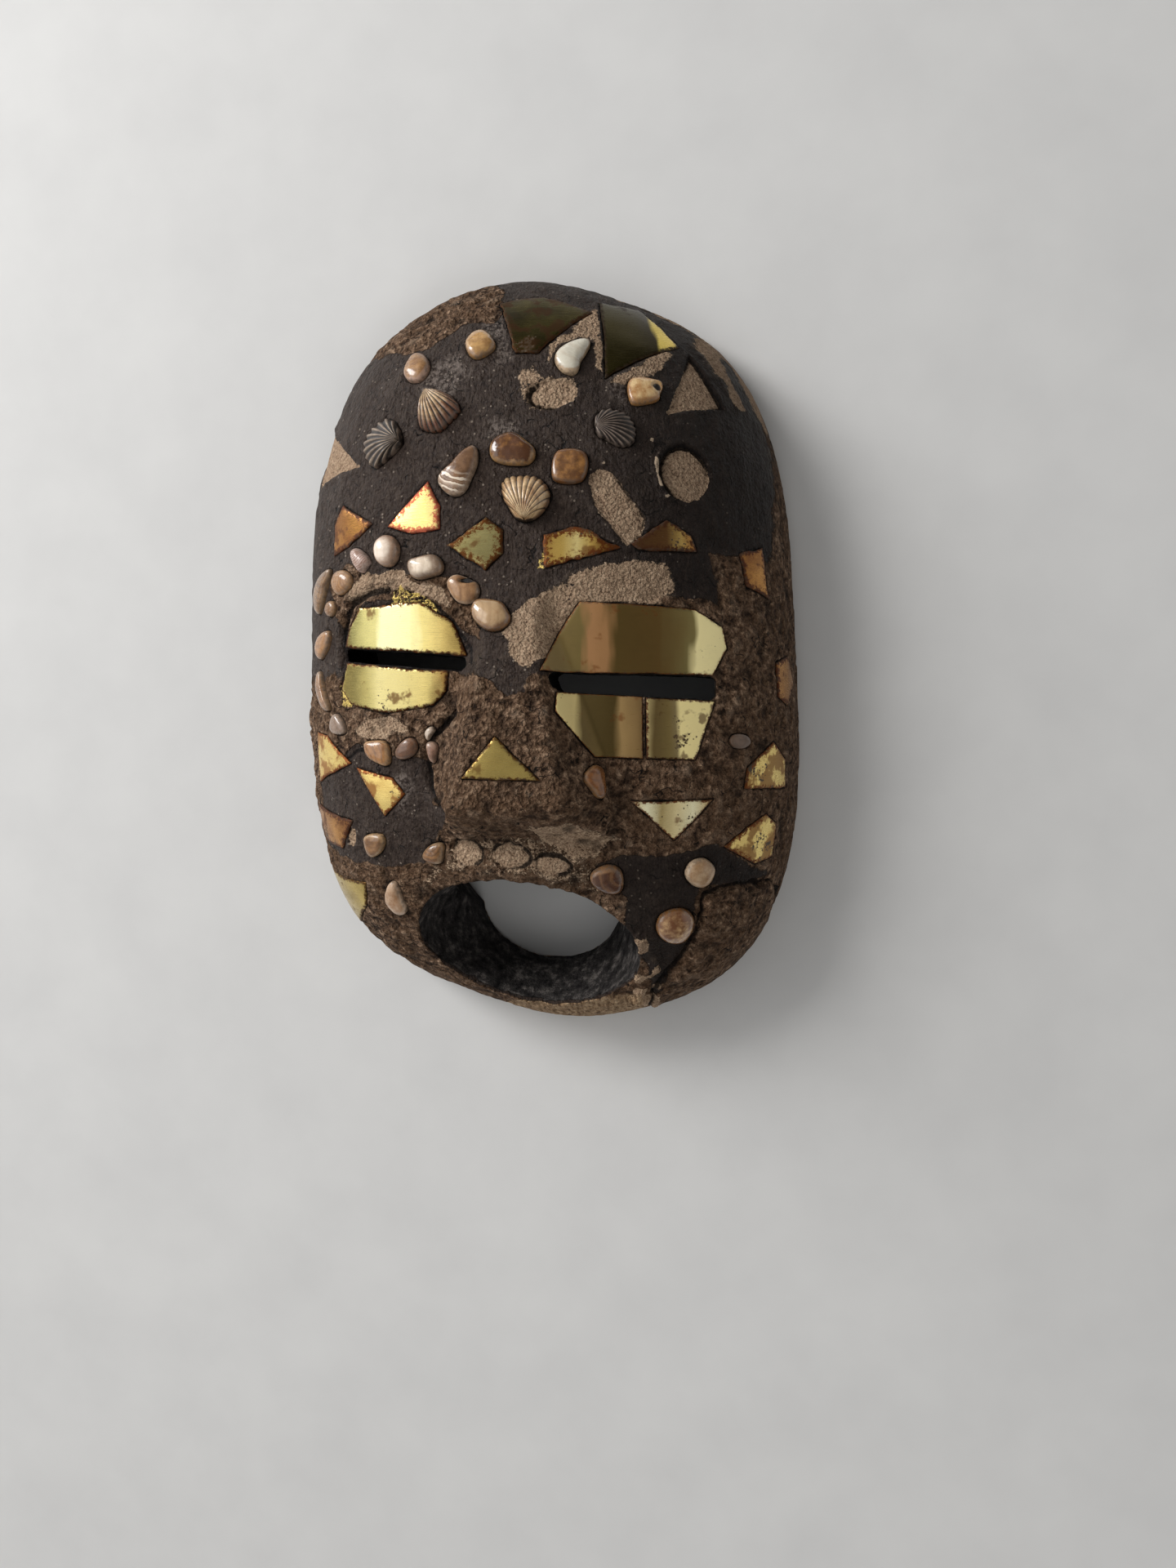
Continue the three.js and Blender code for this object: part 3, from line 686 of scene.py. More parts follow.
# Finish: sheet brass in one of its states, either of two colours, brass and dull, or in bands that lie side
# by side across the plate, each given as [where it is, 0 to 1; its colour; how bare the metal is]. The bands
# hold tarnish colours and painted reflections: bright bands with little bare metal stand in for mirrored
# light
def make_brass(name, burnt, dulled, edge, spots, dirt, bare=1.0, rough=0.0, brass=None, dull=None, tarnish_and_reflection_bands=()):
    material, recipe, shader = new_finish(name)
    if tarnish_and_reflection_bands:
        wander = recipe.noise(recipe.bent(recipe.place((1, 0.25, 0.3)), 0.12, 1.6), 0.12, 2.0)
        run = recipe.plus(recipe.mark("run"), recipe.between(wander, 0.3, 0.7, -0.03, 0.03))
        brass = recipe.tones(run, *((spot, colour) for spot, colour, _ in tarnish_and_reflection_bands))
        dull = recipe.blend(0.22, brass, (0.05, 0.04, 0.02))
        bare = recipe.red_of(recipe.ramp(run, *((spot, (share,) * 3) for spot, _, share in tarnish_and_reflection_bands)))
        spots = recipe.between(bare, 0.9, 0.1, spots, max(spots, 0.5))
    else:
        brass, dull = seen(*brass), seen(*dull)
    sheet = recipe.add("ShaderNodeGroup", node_tree=tarnished_sheet)
    recipe.feed(sheet, {
        "Brass": brass,
        "Dull": dull,
        "Burnt": seen(*burnt),
        "Dulled": dulled,
        "Burnt width": edge,
        "Spots": spots,
        "Bare metal": bare,
    })
    dirty = recipe.add("ShaderNodeGroup", node_tree=caught_dirt)
    recipe.feed(dirty, {
        "Colour": sheet.outputs["Colour"],
        "Roughness": recipe.plus(sheet.outputs["Roughness"], rough),
        "Amount": dirt,
    })
    recipe.feed(shader, {
        "Base Color": dirty.outputs["Colour"],
        "Roughness": dirty.outputs["Roughness"],
        "Metallic": sheet.outputs["Metal"],
        "Normal": recipe.bump(sheet.outputs["Height"], 0.8),
    })
    return material


# Finish: a worn, polished shell, from its body, cloud, rim and line colours, with painted shade down its rib
# grooves and broken hollows: groove sets where it starts, ribs how dark
def shell_finish(
    name, colours, lines=5.0, lined=0.4, late=-0.2, patchy=0.25, rim=1.2, groove=0.45, ribs=1.0, rough=0.24,
    coat=0.45,
):
    material, recipe, shader = new_finish(name + " finish")
    body, cloud, edge, line = (seen(*colour) for colour in colours)
    coloured = recipe.add("ShaderNodeGroup", node_tree=shell_colours)
    recipe.feed(coloured, {
        "Body": body,
        "Cloud": cloud,
        "Rim": edge,
        "Line": line,
        "Lines": lines,
        "Lined": lined,
        "Late lines": late,
        "Cloudy": patchy,
        "Rim width": rim,
    })
    # Painted shade: near-black down the grooves between ribs and in broken hollows
    painted_groove_shade = recipe.between(recipe.mark("rib"), groove, 0.08, 0.0, ribs)
    gloss = recipe.between(recipe.noise(recipe.place(), 0.5, 4.0), 0.4, 0.7, rough, rough + 0.16)
    dirty = recipe.add("ShaderNodeGroup", node_tree=caught_dirt)
    recipe.feed(dirty, {
        "Colour": recipe.blend(painted_groove_shade, coloured.outputs["Colour"], (0.014, 0.009, 0.007)),
        "Roughness": gloss,
        "Amount": 0.7,
    })
    recipe.feed(shader, {
        "Base Color": dirty.outputs["Colour"],
        "Roughness": dirty.outputs["Roughness"],
        "Normal": recipe.bump(coloured.outputs["Height"], 0.7),
        "Coat Weight": coat,
        "Coat Roughness": 0.1,
        "Coat IOR": 1.8,
    })
    return material


paste = make_paste()

brass = {
    # Painted reflection: the bright middle band stands in for the window mirrored in the lid
    "left upper lid": make_brass(
        "rubbed upper lid brass with a painted reflection", (104, 60, 30), 0.4, 1.3, 0.3, 0.8,
        tarnish_and_reflection_bands=(
            (0.0, (120, 80, 44), 1.0), (0.1, (214, 202, 130), 1.0), (0.3, (216, 206, 138), 1.0),
            (0.34, (250, 242, 186), 1.0), (0.6, (246, 236, 176), 1.0), (0.68, (228, 210, 136), 1.0),
            (0.93, (226, 192, 112), 1.0), (1.0, (150, 96, 50), 1.0),
        ),
    ),
    # Painted reflections in the lighter bands; the dark ends are burnt edges
    "left lower lid": make_brass(
        "rubbed lower lid brass with painted reflections", (104, 60, 30), 0.4, 1.3, 0.6, 0.8,
        tarnish_and_reflection_bands=(
            (0.0, (240, 214, 126), 1.0), (0.08, (186, 166, 98), 1.0), (0.3, (190, 176, 112), 1.0),
            (0.42, (220, 206, 144), 1.0), (0.7, (208, 192, 128), 1.0), (0.86, (222, 200, 126), 1.0),
            (1.0, (170, 124, 66), 1.0),
        ),
    ),
    # Painted reflections: bands with little bare metal, the bright end most of all, show their colour
    # whatever the lamps
    "right upper lid": make_brass(
        "veiled upper lid brass with painted reflections", (130, 82, 40), 0.4, 0.5, 0.3, 0.5, rough=0.12,
        tarnish_and_reflection_bands=(
            (0.0, (140, 118, 72), 0.3), (0.24, (126, 108, 62), 0.3), (0.28, (178, 132, 88), 0.3),
            (0.35, (170, 126, 82), 0.3), (0.4, (126, 102, 56), 0.8), (0.62, (132, 104, 58), 0.8),
            (0.79, (146, 132, 84), 0.8), (0.83, (255, 240, 176), 0.05),
        ),
    ),
    # Painted reflection: the bright inner part, with almost no bare metal
    "right lower lid inner": make_brass(
        "veiled inner lid brass with a painted reflection", (130, 82, 40), 0.4, 0.4, 0.3, 0.3, rough=0.1,
        tarnish_and_reflection_bands=(
            (0.0, (238, 218, 150), 0.1), (0.24, (232, 210, 142), 0.1), (0.32, (114, 96, 56), 0.6),
            (0.68, (116, 96, 54), 0.8), (0.76, (176, 144, 94), 0.3), (1.0, (146, 116, 72), 0.4),
        ),
    ),
    # Painted reflections: both bright ends, with little bare metal
    "right lower lid outer": make_brass(
        "veiled outer lid brass with painted reflections", (92, 56, 28), 0.4, 0.9, 0.8, 0.5, rough=0.1,
        tarnish_and_reflection_bands=(
            (0.0, (226, 206, 146), 0.4), (0.12, (160, 134, 86), 0.9), (0.3, (178, 154, 98), 0.9),
            (0.42, (176, 156, 110), 0.8), (0.48, (250, 232, 164), 0.1),
        ),
    ),
    # Painted reflections: the bright streaks across the folded plate
    "bright": make_brass(
        "cheek brass with painted reflections", (112, 68, 34), 0.4, 1.0, 0.5, 0.6,
        tarnish_and_reflection_bands=(
            (0.0, (236, 212, 150), 0.3), (0.2, (255, 250, 210), 0.3), (0.36, (212, 188, 128), 0.6),
            (0.55, (240, 222, 168), 0.3), (0.75, (255, 248, 206), 0.3), (1.0, (204, 172, 110), 0.5),
        ),
    ),
    "dark": make_brass(
        "dark crown brass", (88, 56, 32), 0.7, 1.6, 0.9, 0.7, brass=(98, 88, 44), dull=(58, 50, 24),
    ),
    "dark tipped": make_brass(
        "dark crown brass with a bright tip", (58, 42, 24), 0.5, 1.2, 0.3, 0.6,
        tarnish_and_reflection_bands=(
            (0.0, (74, 66, 33), 1.0), (0.5, (64, 56, 27), 1.0), (0.7, (52, 44, 22), 1.0),
            (0.76, (224, 198, 96), 0.6), (1.0, (236, 208, 112), 0.6),
        ),
    ),
    # Painted highlight: the bright streak in the middle; the brown ends are tarnish
    "crumbling gold": make_brass(
        "crumbling brow brass with a painted highlight", (124, 68, 30), 0.5, 3.4, 0.8, 0.7,
        tarnish_and_reflection_bands=(
            (0.0, (214, 170, 88), 0.8), (0.25, (240, 200, 108), 0.8), (0.45, (255, 232, 156), 0.6),
            (0.6, (236, 196, 104), 0.7), (0.8, (180, 128, 62), 0.9), (1.0, (120, 76, 38), 0.9),
        ),
    ),
    "dark brown": make_brass(
        "dark brown brow brass", (84, 48, 26), 0.6, 2.4, 0.8, 0.8,
        tarnish_and_reflection_bands=(
            (0.0, (92, 62, 36), 0.6), (0.5, (116, 80, 44), 0.7), (0.72, (206, 172, 98), 0.7),
            (1.0, (176, 104, 46), 0.7),
        ),
    ),
    "gold": make_brass(
        "spotted gold brass", (150, 84, 38), 0.5, 1.6, 0.9, 0.5, 0.75,
        brass=(240, 212, 132), dull=(214, 172, 92),
    ),
    "rusted gold": make_brass(
        "rust-spotted gold brass", (122, 68, 30), 0.5, 2.2, 1.3, 0.6, 0.75,
        brass=(246, 220, 140), dull=(220, 180, 98),
    ),
    "olive": make_brass(
        "olive nose brass", (104, 70, 32), 0.6, 1.2, 0.5, 0.7, 0.85,
        brass=(204, 178, 104), dull=(156, 132, 72),
    ),
    "fired": make_brass(
        "fired brow brass", (196, 104, 78), 0.5, 3.2, 0.3, 0.5, brass=(250, 226, 146), dull=(240, 196, 104),
    ),
    "brown": make_brass(
        "brown temple brass", (92, 50, 26), 0.7, 2.4, 0.8, 0.8, 0.7,
        brass=(196, 142, 72), dull=(128, 80, 38),
    ),
    "green": make_brass(
        "greened brow brass", (112, 68, 34), 0.6, 3.8, 0.4, 0.6, brass=(208, 194, 132), dull=(160, 148, 98),
    ),
}

# Places where something is pressed into the paste: [seat, outline in its plane, depth, gap of an empty one]
beds = []


# Sheet brass: a flat blank cut to an outline, bent to the face, with rolled and slightly ragged edges
def brass_sheet(name, finish, corners, seed, ragged=0.35, dents=0.22):
    seat = seat_at(*np.mean(corners, axis=0))
    outline = counter_clockwise(laid_on(seat, corners))
    beds.append((seat, outline, BRASS_BED, None))

    low, high = outline.min(axis=0) - 1, outline.max(axis=0) + 1
    cells = np.maximum(2, np.ceil((high - low) / BRASS_CELL)).astype(int)
    bm = bmesh.new()
    bmesh.ops.create_grid(bm, x_segments=int(cells[0]), y_segments=int(cells[1]), size=0.5)
    grid = vertex_places(bm)
    put_vertices(bm, np.column_stack([low + (grid[:, :2] + 0.5) * (high - low), grid[:, 2]]))
    for start, end in zip(outline, np.roll(outline, -1, axis=0)):
        side = end - start
        bmesh.ops.bisect_plane(
            bm,
            geom=bm.verts[:] + bm.edges[:] + bm.faces[:],
            dist=0.12,
            plane_co=(*start, 0),
            plane_no=(side[1], -side[0], 0),
            clear_outer=True,
        )
    for vert in only_vertices(bmesh.ops.extrude_face_region(bm, geom=bm.faces[:])["geom"]):
        vert.co.z = -1
    bmesh.ops.recalc_face_normals(bm, faces=bm.faces)

    flat = vertex_places(bm)
    under = flat[:, 2] < -0.5
    inward = -edge_distance(flat[:, :2], outline)
    at_edge = smooth_between(-inward, -1.8, 0)
    lumps = np.column_stack([flat[:, :2], np.full(len(flat), seed * 31.0)])
    shift = np.stack([layered(lumps, 5.0, seed), layered(lumps, 5.0, seed + 50)], axis=1)
    flat[:, :2] += shift * ragged * at_edge[:, None]
    rolled = 0.4 * smooth_between(-inward, -0.9, 0) ** 2
    swell = dents * layered(lumps, 13.0, seed + 90, 2) + 0.1 * smooth_between(inward, 0, 7) - 0.1
    height = lift_over(seat, flat[:, :2]) + np.where(under, -BRASS_BELOW, BRASS_ABOVE - rolled + swell)
    placed = out_of_seat(seat, np.column_stack([flat[:, :2], height]))
    placed[:, 2] = np.minimum(placed[:, 2], NOSE_TOP)
    put_vertices(bm, placed)
    piece = as_object(bm, name + "_sheet")
    run = (flat[:, 0] - outline[:, 0].min()) / np.ptp(outline[:, 0])
    set_marks(piece.data, edge=np.where(under, 0, np.maximum(inward, 0)), run=run)
    settle(piece, name + "_plate", brass[finish])


# Shell outlines are [x, y] corners on the face, rounded off into one closed curve
def rounded_outline(seat, corners):
    curve = counter_clockwise(laid_on(seat, corners))
    for _ in range(2):
        following = np.roll(curve, -1, axis=0)
        cut_corners = [0.78 * curve + 0.22 * following, 0.22 * curve + 0.78 * following]
        curve = np.stack(cut_corners, axis=1).reshape(-1, 2)
    return curve


# A smooth domed shell. Beak is the bearing of its oldest end, from the right and counter-clockwise;
# peak is where it stands highest, [u, v] in half sizes; a hole is a broken place,
# [u, v, half width, half height] in half sizes
def domed_shell(
    name, corners, finish, seed, rise=3.5, beak=90.0, peak=(0.0, 0.0), fullness=2.4, ridge=0.05, dimple=0.0,
    hole=None,
):
    seat = seat_at(*np.mean(corners, axis=0))
    edge = rounded_outline(seat, corners)
    middle = (edge.max(axis=0) + edge.min(axis=0)) / 2
    half = (edge.max(axis=0) - edge.min(axis=0)) / 2
    beds.append((seat, edge, SHELL_BELOW, None))
    edge_angle = np.arctan2(edge[:, 1] - middle[1], edge[:, 0] - middle[0])
    edge_reach = np.hypot(*(edge - middle).T)

    climbs = [ring / SHELL_RINGS * math.pi / 2 for ring in range(SHELL_RINGS + 1)]
    quarter = [(math.cos(climb), math.sin(climb)) for climb in climbs]
    bm = turned_form([(0, -1), (1, -1), (1, -0.5), *quarter], SHELL_SPOKES)
    unit = vertex_places(bm)
    angle = np.arctan2(unit[:, 1], unit[:, 0])
    radius = np.minimum(np.hypot(unit[:, 0], unit[:, 1]), 1)
    reach = np.interp(angle, edge_angle, edge_reach, period=2 * math.pi) * radius
    flat = middle + np.column_stack([np.cos(angle), np.sin(angle)]) * reach[:, None]
    top = unit[:, 2] >= 0
    flat += np.array(peak) * half * (((1 - radius) ** 1.3) * top)[:, None]
    lumps = np.column_stack([flat, np.full(len(flat), seed * 13.0)])
    domed = np.maximum(1 - radius**fullness, 0) ** (1 / 2.1)
    uneven = ridge * rise * (layered(lumps, 5.0, seed + 9, 2) + 0.6 * layered(lumps, 2.2, seed + 19, 2))
    height = SHELL_EDGE + (rise + uneven - dimple * rise * bell(radius, 0, 0.45)) * domed
    torn = np.zeros(len(flat))
    if hole:
        across = ((flat - middle) / half - np.array(hole[:2])) / np.array(hole[2:])
        torn = smooth_between(-np.hypot(*across.T), -1.15, -0.8)
        height -= 0.8 * rise * torn * domed
    height = np.where(top, height, np.where(unit[:, 2] < -0.9, -SHELL_BELOW, 0))
    put_vertices(bm, out_of_seat(seat, np.column_stack([flat, height])))
    bmesh.ops.recalc_face_normals(bm, faces=bm.faces)
    piece = as_object(bm, name + "_valve")
    bearing = math.radians(beak)
    oldest = middle + half * np.array([math.cos(bearing), math.sin(bearing)])
    growth = np.hypot(*(flat - oldest).T) / (2 * half.max())
    # The rib mark drops to 0 in the broken place, so the finish darkens it with painted shade
    set_marks(piece.data, edge=np.where(top, (1 - radius) * half.min(), 0), growth=growth, rib=1 - torn)
    settle(piece, name, finish)


# A cockle valve: ribs run from the hinge, [x, y] on the face, to every part of the margin. Sharp narrows the
# ribs, and a larger fan gives more of them to the far margin
def ribbed_shell(name, corners, hinge, ribs, finish, seed, rise=5.0, depth=0.75, sharp=0.55, fan=0.7):
    seat = seat_at(*np.mean(corners, axis=0))
    edge = rounded_outline(seat, corners)
    beds.append((seat, edge, SHELL_BELOW, None))
    centre = laid_on(seat, [hinge])[0]
    edge = np.roll(edge, -np.argmin(np.hypot(*(edge - centre).T)), axis=0)
    closed = np.vstack([edge, edge[:1]])
    steps = np.hypot(*np.diff(closed, axis=0).T)
    steps = steps * np.hypot(*((closed[1:] + closed[:-1]) / 2 - centre).T) ** fan
    along = np.concatenate([[0], np.cumsum(steps)]) / steps.sum()

    bm = bmesh.new()
    bmesh.ops.create_grid(bm, x_segments=ribs * STEPS_A_RIB, y_segments=STEPS_ALONG_RIB, size=1)
    skirt = bmesh.ops.extrude_edge_only(bm, edges=open_edges(bm))["geom"]
    for vert in only_vertices(skirt):
        vert.co.z = -1
    bmesh.ops.holes_fill(bm, edges=open_edges(bm))
    unit = vertex_places(bm)
    under = unit[:, 2] < -0.5
    turn = 0.5 - 0.49 * unit[:, 0]
    share = 0.04 + 0.96 * (unit[:, 1] * 0.5 + 0.5)
    rim = np.column_stack([np.interp(turn, along, closed[:, 0]), np.interp(turn, along, closed[:, 1])])
    length = np.hypot(*(rim - centre).T)
    wave = 0.5 - 0.5 * np.cos((unit[:, 0] * 0.5 + 0.5) * ribs * 2 * math.pi)
    rib = wave**sharp
    spread = (length / length.max()) ** 0.75
    arch = np.sin(math.pi * np.minimum(0.16 + 0.84 * share, 1)) ** 0.65
    growth_step = 0.03 * cloud(np.column_stack([share * 11, turn * 3, np.full(len(share), seed)]), 1.0, seed)
    scallop = 0.35 * (rib - 0.5) * smooth_between(share, 0.75, 1)
    flat = centre + (rim - centre) * (share * (1 + scallop / np.maximum(length, 2)))[:, None]
    height = 0.5 + rise * arch * spread + depth * (rib - 0.4) * spread * share**0.9 + growth_step * spread
    height = np.where(under, -SHELL_BELOW, height)
    marks = dict(edge=np.where(under, 0, (1 - share) * length * 0.8), growth=share, rib=rib)
    for label, values in marks.items():
        layer = bm.verts.layers.float.new(label)
        for vert, value in zip(bm.verts, values):
            vert[layer] = value
    put_vertices(bm, out_of_seat(seat, np.column_stack([flat, height])))
    bmesh.ops.remove_doubles(bm, verts=bm.verts, dist=0.03)
    bmesh.ops.recalc_face_normals(bm, faces=bm.faces)
    settle(as_object(bm, name + "_valve"), name, finish)


# The brass plates: [name, state of the brass, how it is cut, corners on the face]
SHEETS = (
    # Eyelid plates
    ("left_upper_lid", "left upper lid", dict(ragged=0.8),
     ((-80, 0.3), (-77, 9), (-71, 17), (-40, 18), (-25, 9), (-18.5, -5.5))),
    ("left_lower_lid", "left lower lid", dict(ragged=1.1),
     ((-79, -6.5), (-27, -11.6), (-28, -20), (-34, -26), (-59, -29), (-77, -25), (-83, -18))),
    ("right_upper_lid", "right upper lid", dict(ragged=0.5, dents=0.1),
     ((29, 16), (15, -12.5), (82, -14.4), (88, -3), (86, 6), (75, 13))),
    ("right_lower_lid_inner", "right lower lid inner", dict(ragged=0.3, dents=0.1),
     ((21, -21.5), (54, -23.5), (54, -49), (35, -48), (21, -29))),
    ("right_lower_lid_outer", "right lower lid outer", dict(ragged=0.3, dents=0.1),
     ((55.6, -23.6), (83, -25.4), (75, -50), (55.6, -49))),
    # Plates on the nose, crown and brow
    ("nose", "olive", dict(ragged=0.5),
     ((-3, -39), (16, -57), (-17, -56))),
    ("crown_left", "dark", dict(ragged=0.8),
     ((-13, 153), (6, 156), (28, 147), (8, 125), (-2, 125))),
    ("crown_right", "dark tipped", dict(ragged=0.8),
     ((30, 154), (47, 152), (66, 130), (37, 112))),
    ("brow_left", "fired", dict(ragged=0.5),
     ((-37, 69), (-31, 58), (-31, 48), (-44, 47), (-56, 51))),
    ("left_temple", "brown", dict(ragged=0.9),
     ((-82, 64), (-64, 53), (-77, 45), (-87, 42), (-87, 56))),
    ("brow_middle", "green", dict(ragged=1.4),
     ((-27, 41), (-11, 52), (-3, 47), (-3, 37), (-10, 30), (-22, 37))),
    ("brow_wide", "crumbling gold", dict(ragged=1.1, dents=0.4),
     ((14, 44), (28, 47), (46, 38), (15, 30))),
    ("brow_right", "dark brown", dict(ragged=0.8),
     ((50, 40), (64, 50), (74, 44), (76, 37), (53, 37))),
    ("right_temple", "brown", dict(ragged=1.0),
     ((93, 38), (102, 42), (105, 20), (96, 24))),
    # Plates on the cheeks and flanks
    ("left_cheek_edge", "gold", dict(ragged=0.6),
     ((-102, -37), (-94, -39), (-78, -51), (-102, -60))),
    ("left_cheek_kite", "gold", dict(),
     ((-75, -53), (-56, -57), (-50, -64), (-61, -74))),
    ("left_jaw_edge", "brown", dict(ragged=0.7),
     ((-107, -71), (-80, -77), (-89, -91), (-102, -88))),
    ("left_chin", "olive", dict(ragged=0.6),
     ((-107, -102), (-77, -106), (-80, -118), (-92, -130), (-102, -119))),
    ("right_cheek_triangle", "bright", dict(ragged=0.5),
     ((49, -67), (82, -67), (66, -84))),
    ("right_cheek_edge", "rusted gold", dict(ragged=0.8),
     ((107, -43), (112, -51), (112, -64), (95, -63), (96, -54))),
    ("right_jaw", "rusted gold", dict(ragged=0.6),
     ((86, -88), (96, -80), (104, -75), (108, -80), (106, -95), (99, -97))),
    ("right_flank", "brown", dict(),
     ((108, -8), (113, -5), (115.5, -16), (113, -27), (109, -23))),
)

# The ribbed cockles: [name, hinge, ribs, body, cloud, rim and line colours, looks, form, corners on the face]
COCKLES = (
    ("cockle_upper_left", (-40, 109.2), 13,
     ((196, 166, 126), (124, 80, 54), (84, 42, 28), (84, 52, 36)),
     dict(ribs=1.0, groove=0.55, lined=0.3, rim=6.5),
     dict(rise=5.4, depth=1.0, sharp=0.7, fan=0.9),
     ((-40.7, 109.5), (-35.5, 109.3), (-30.7, 107.9), (-26.3, 104.2), (-23.7, 100), (-25.3, 97),
      (-28.6, 94.2), (-31.9, 90.6), (-36.4, 90.6), (-41.7, 92.5), (-43, 97.1), (-43, 101.5),
      (-42.2, 106.9))),
    ("cockle_left", (-50.6, 87.8), 13,
     ((160, 142, 124), (92, 78, 68), (116, 98, 86), (70, 58, 50)),
     dict(groove=0.9, lined=0.2, rough=0.4, coat=0.1),
     dict(rise=4.2, depth=1.2, sharp=1.8, fan=0.5),
     ((-49.7, 87.2), (-51.1, 91.8), (-54.1, 97.1), (-58.5, 99.6), (-63.4, 97.7), (-67.4, 94.2),
      (-69.7, 90.1), (-69.7, 85.6), (-67, 80.3), (-63.6, 77.1), (-59.5, 79.2), (-54.7, 82.5),
      (-51.1, 85.6))),
    ("cockle_upper_right", (34.3, 89.1), 15,
     ((136, 120, 108), (84, 73, 66), (80, 68, 62), (48, 42, 38)),
     dict(groove=0.9, lined=0.2, rough=0.4, coat=0.1),
     dict(rise=4.2, depth=1.2, sharp=1.8, fan=0.5),
     ((33.7, 90), (33.9, 93.4), (35.7, 96.1), (38.8, 97.4), (42.9, 96.5), (46.9, 94.8), (49.4, 91.7),
      (50.9, 87.4), (50.5, 83.1), (48.6, 80.9), (45.1, 80.5), (41.9, 81.7), (38.7, 83.9), (35, 85.6))),
    ("cockle_brow", (6.3, 49.5), 14,
     ((214, 184, 142), (160, 120, 82), (112, 78, 52), (118, 82, 54)),
     dict(ribs=0.9, groove=0.5, lines=3, lined=0.35),
     dict(rise=7.0, depth=0.9, sharp=0.5, fan=0.8),
     ((6.3, 49.1), (9.5, 49.8), (13.5, 52.9), (16.3, 56.9), (16.6, 61.8), (14, 66), (9.9, 68.6),
      (4.2, 68.7), (-0.8, 68.6), (-3.6, 66.7), (-3.9, 63.4), (-3, 59.2), (-0.8, 55.8), (2.2, 50.9))),
)

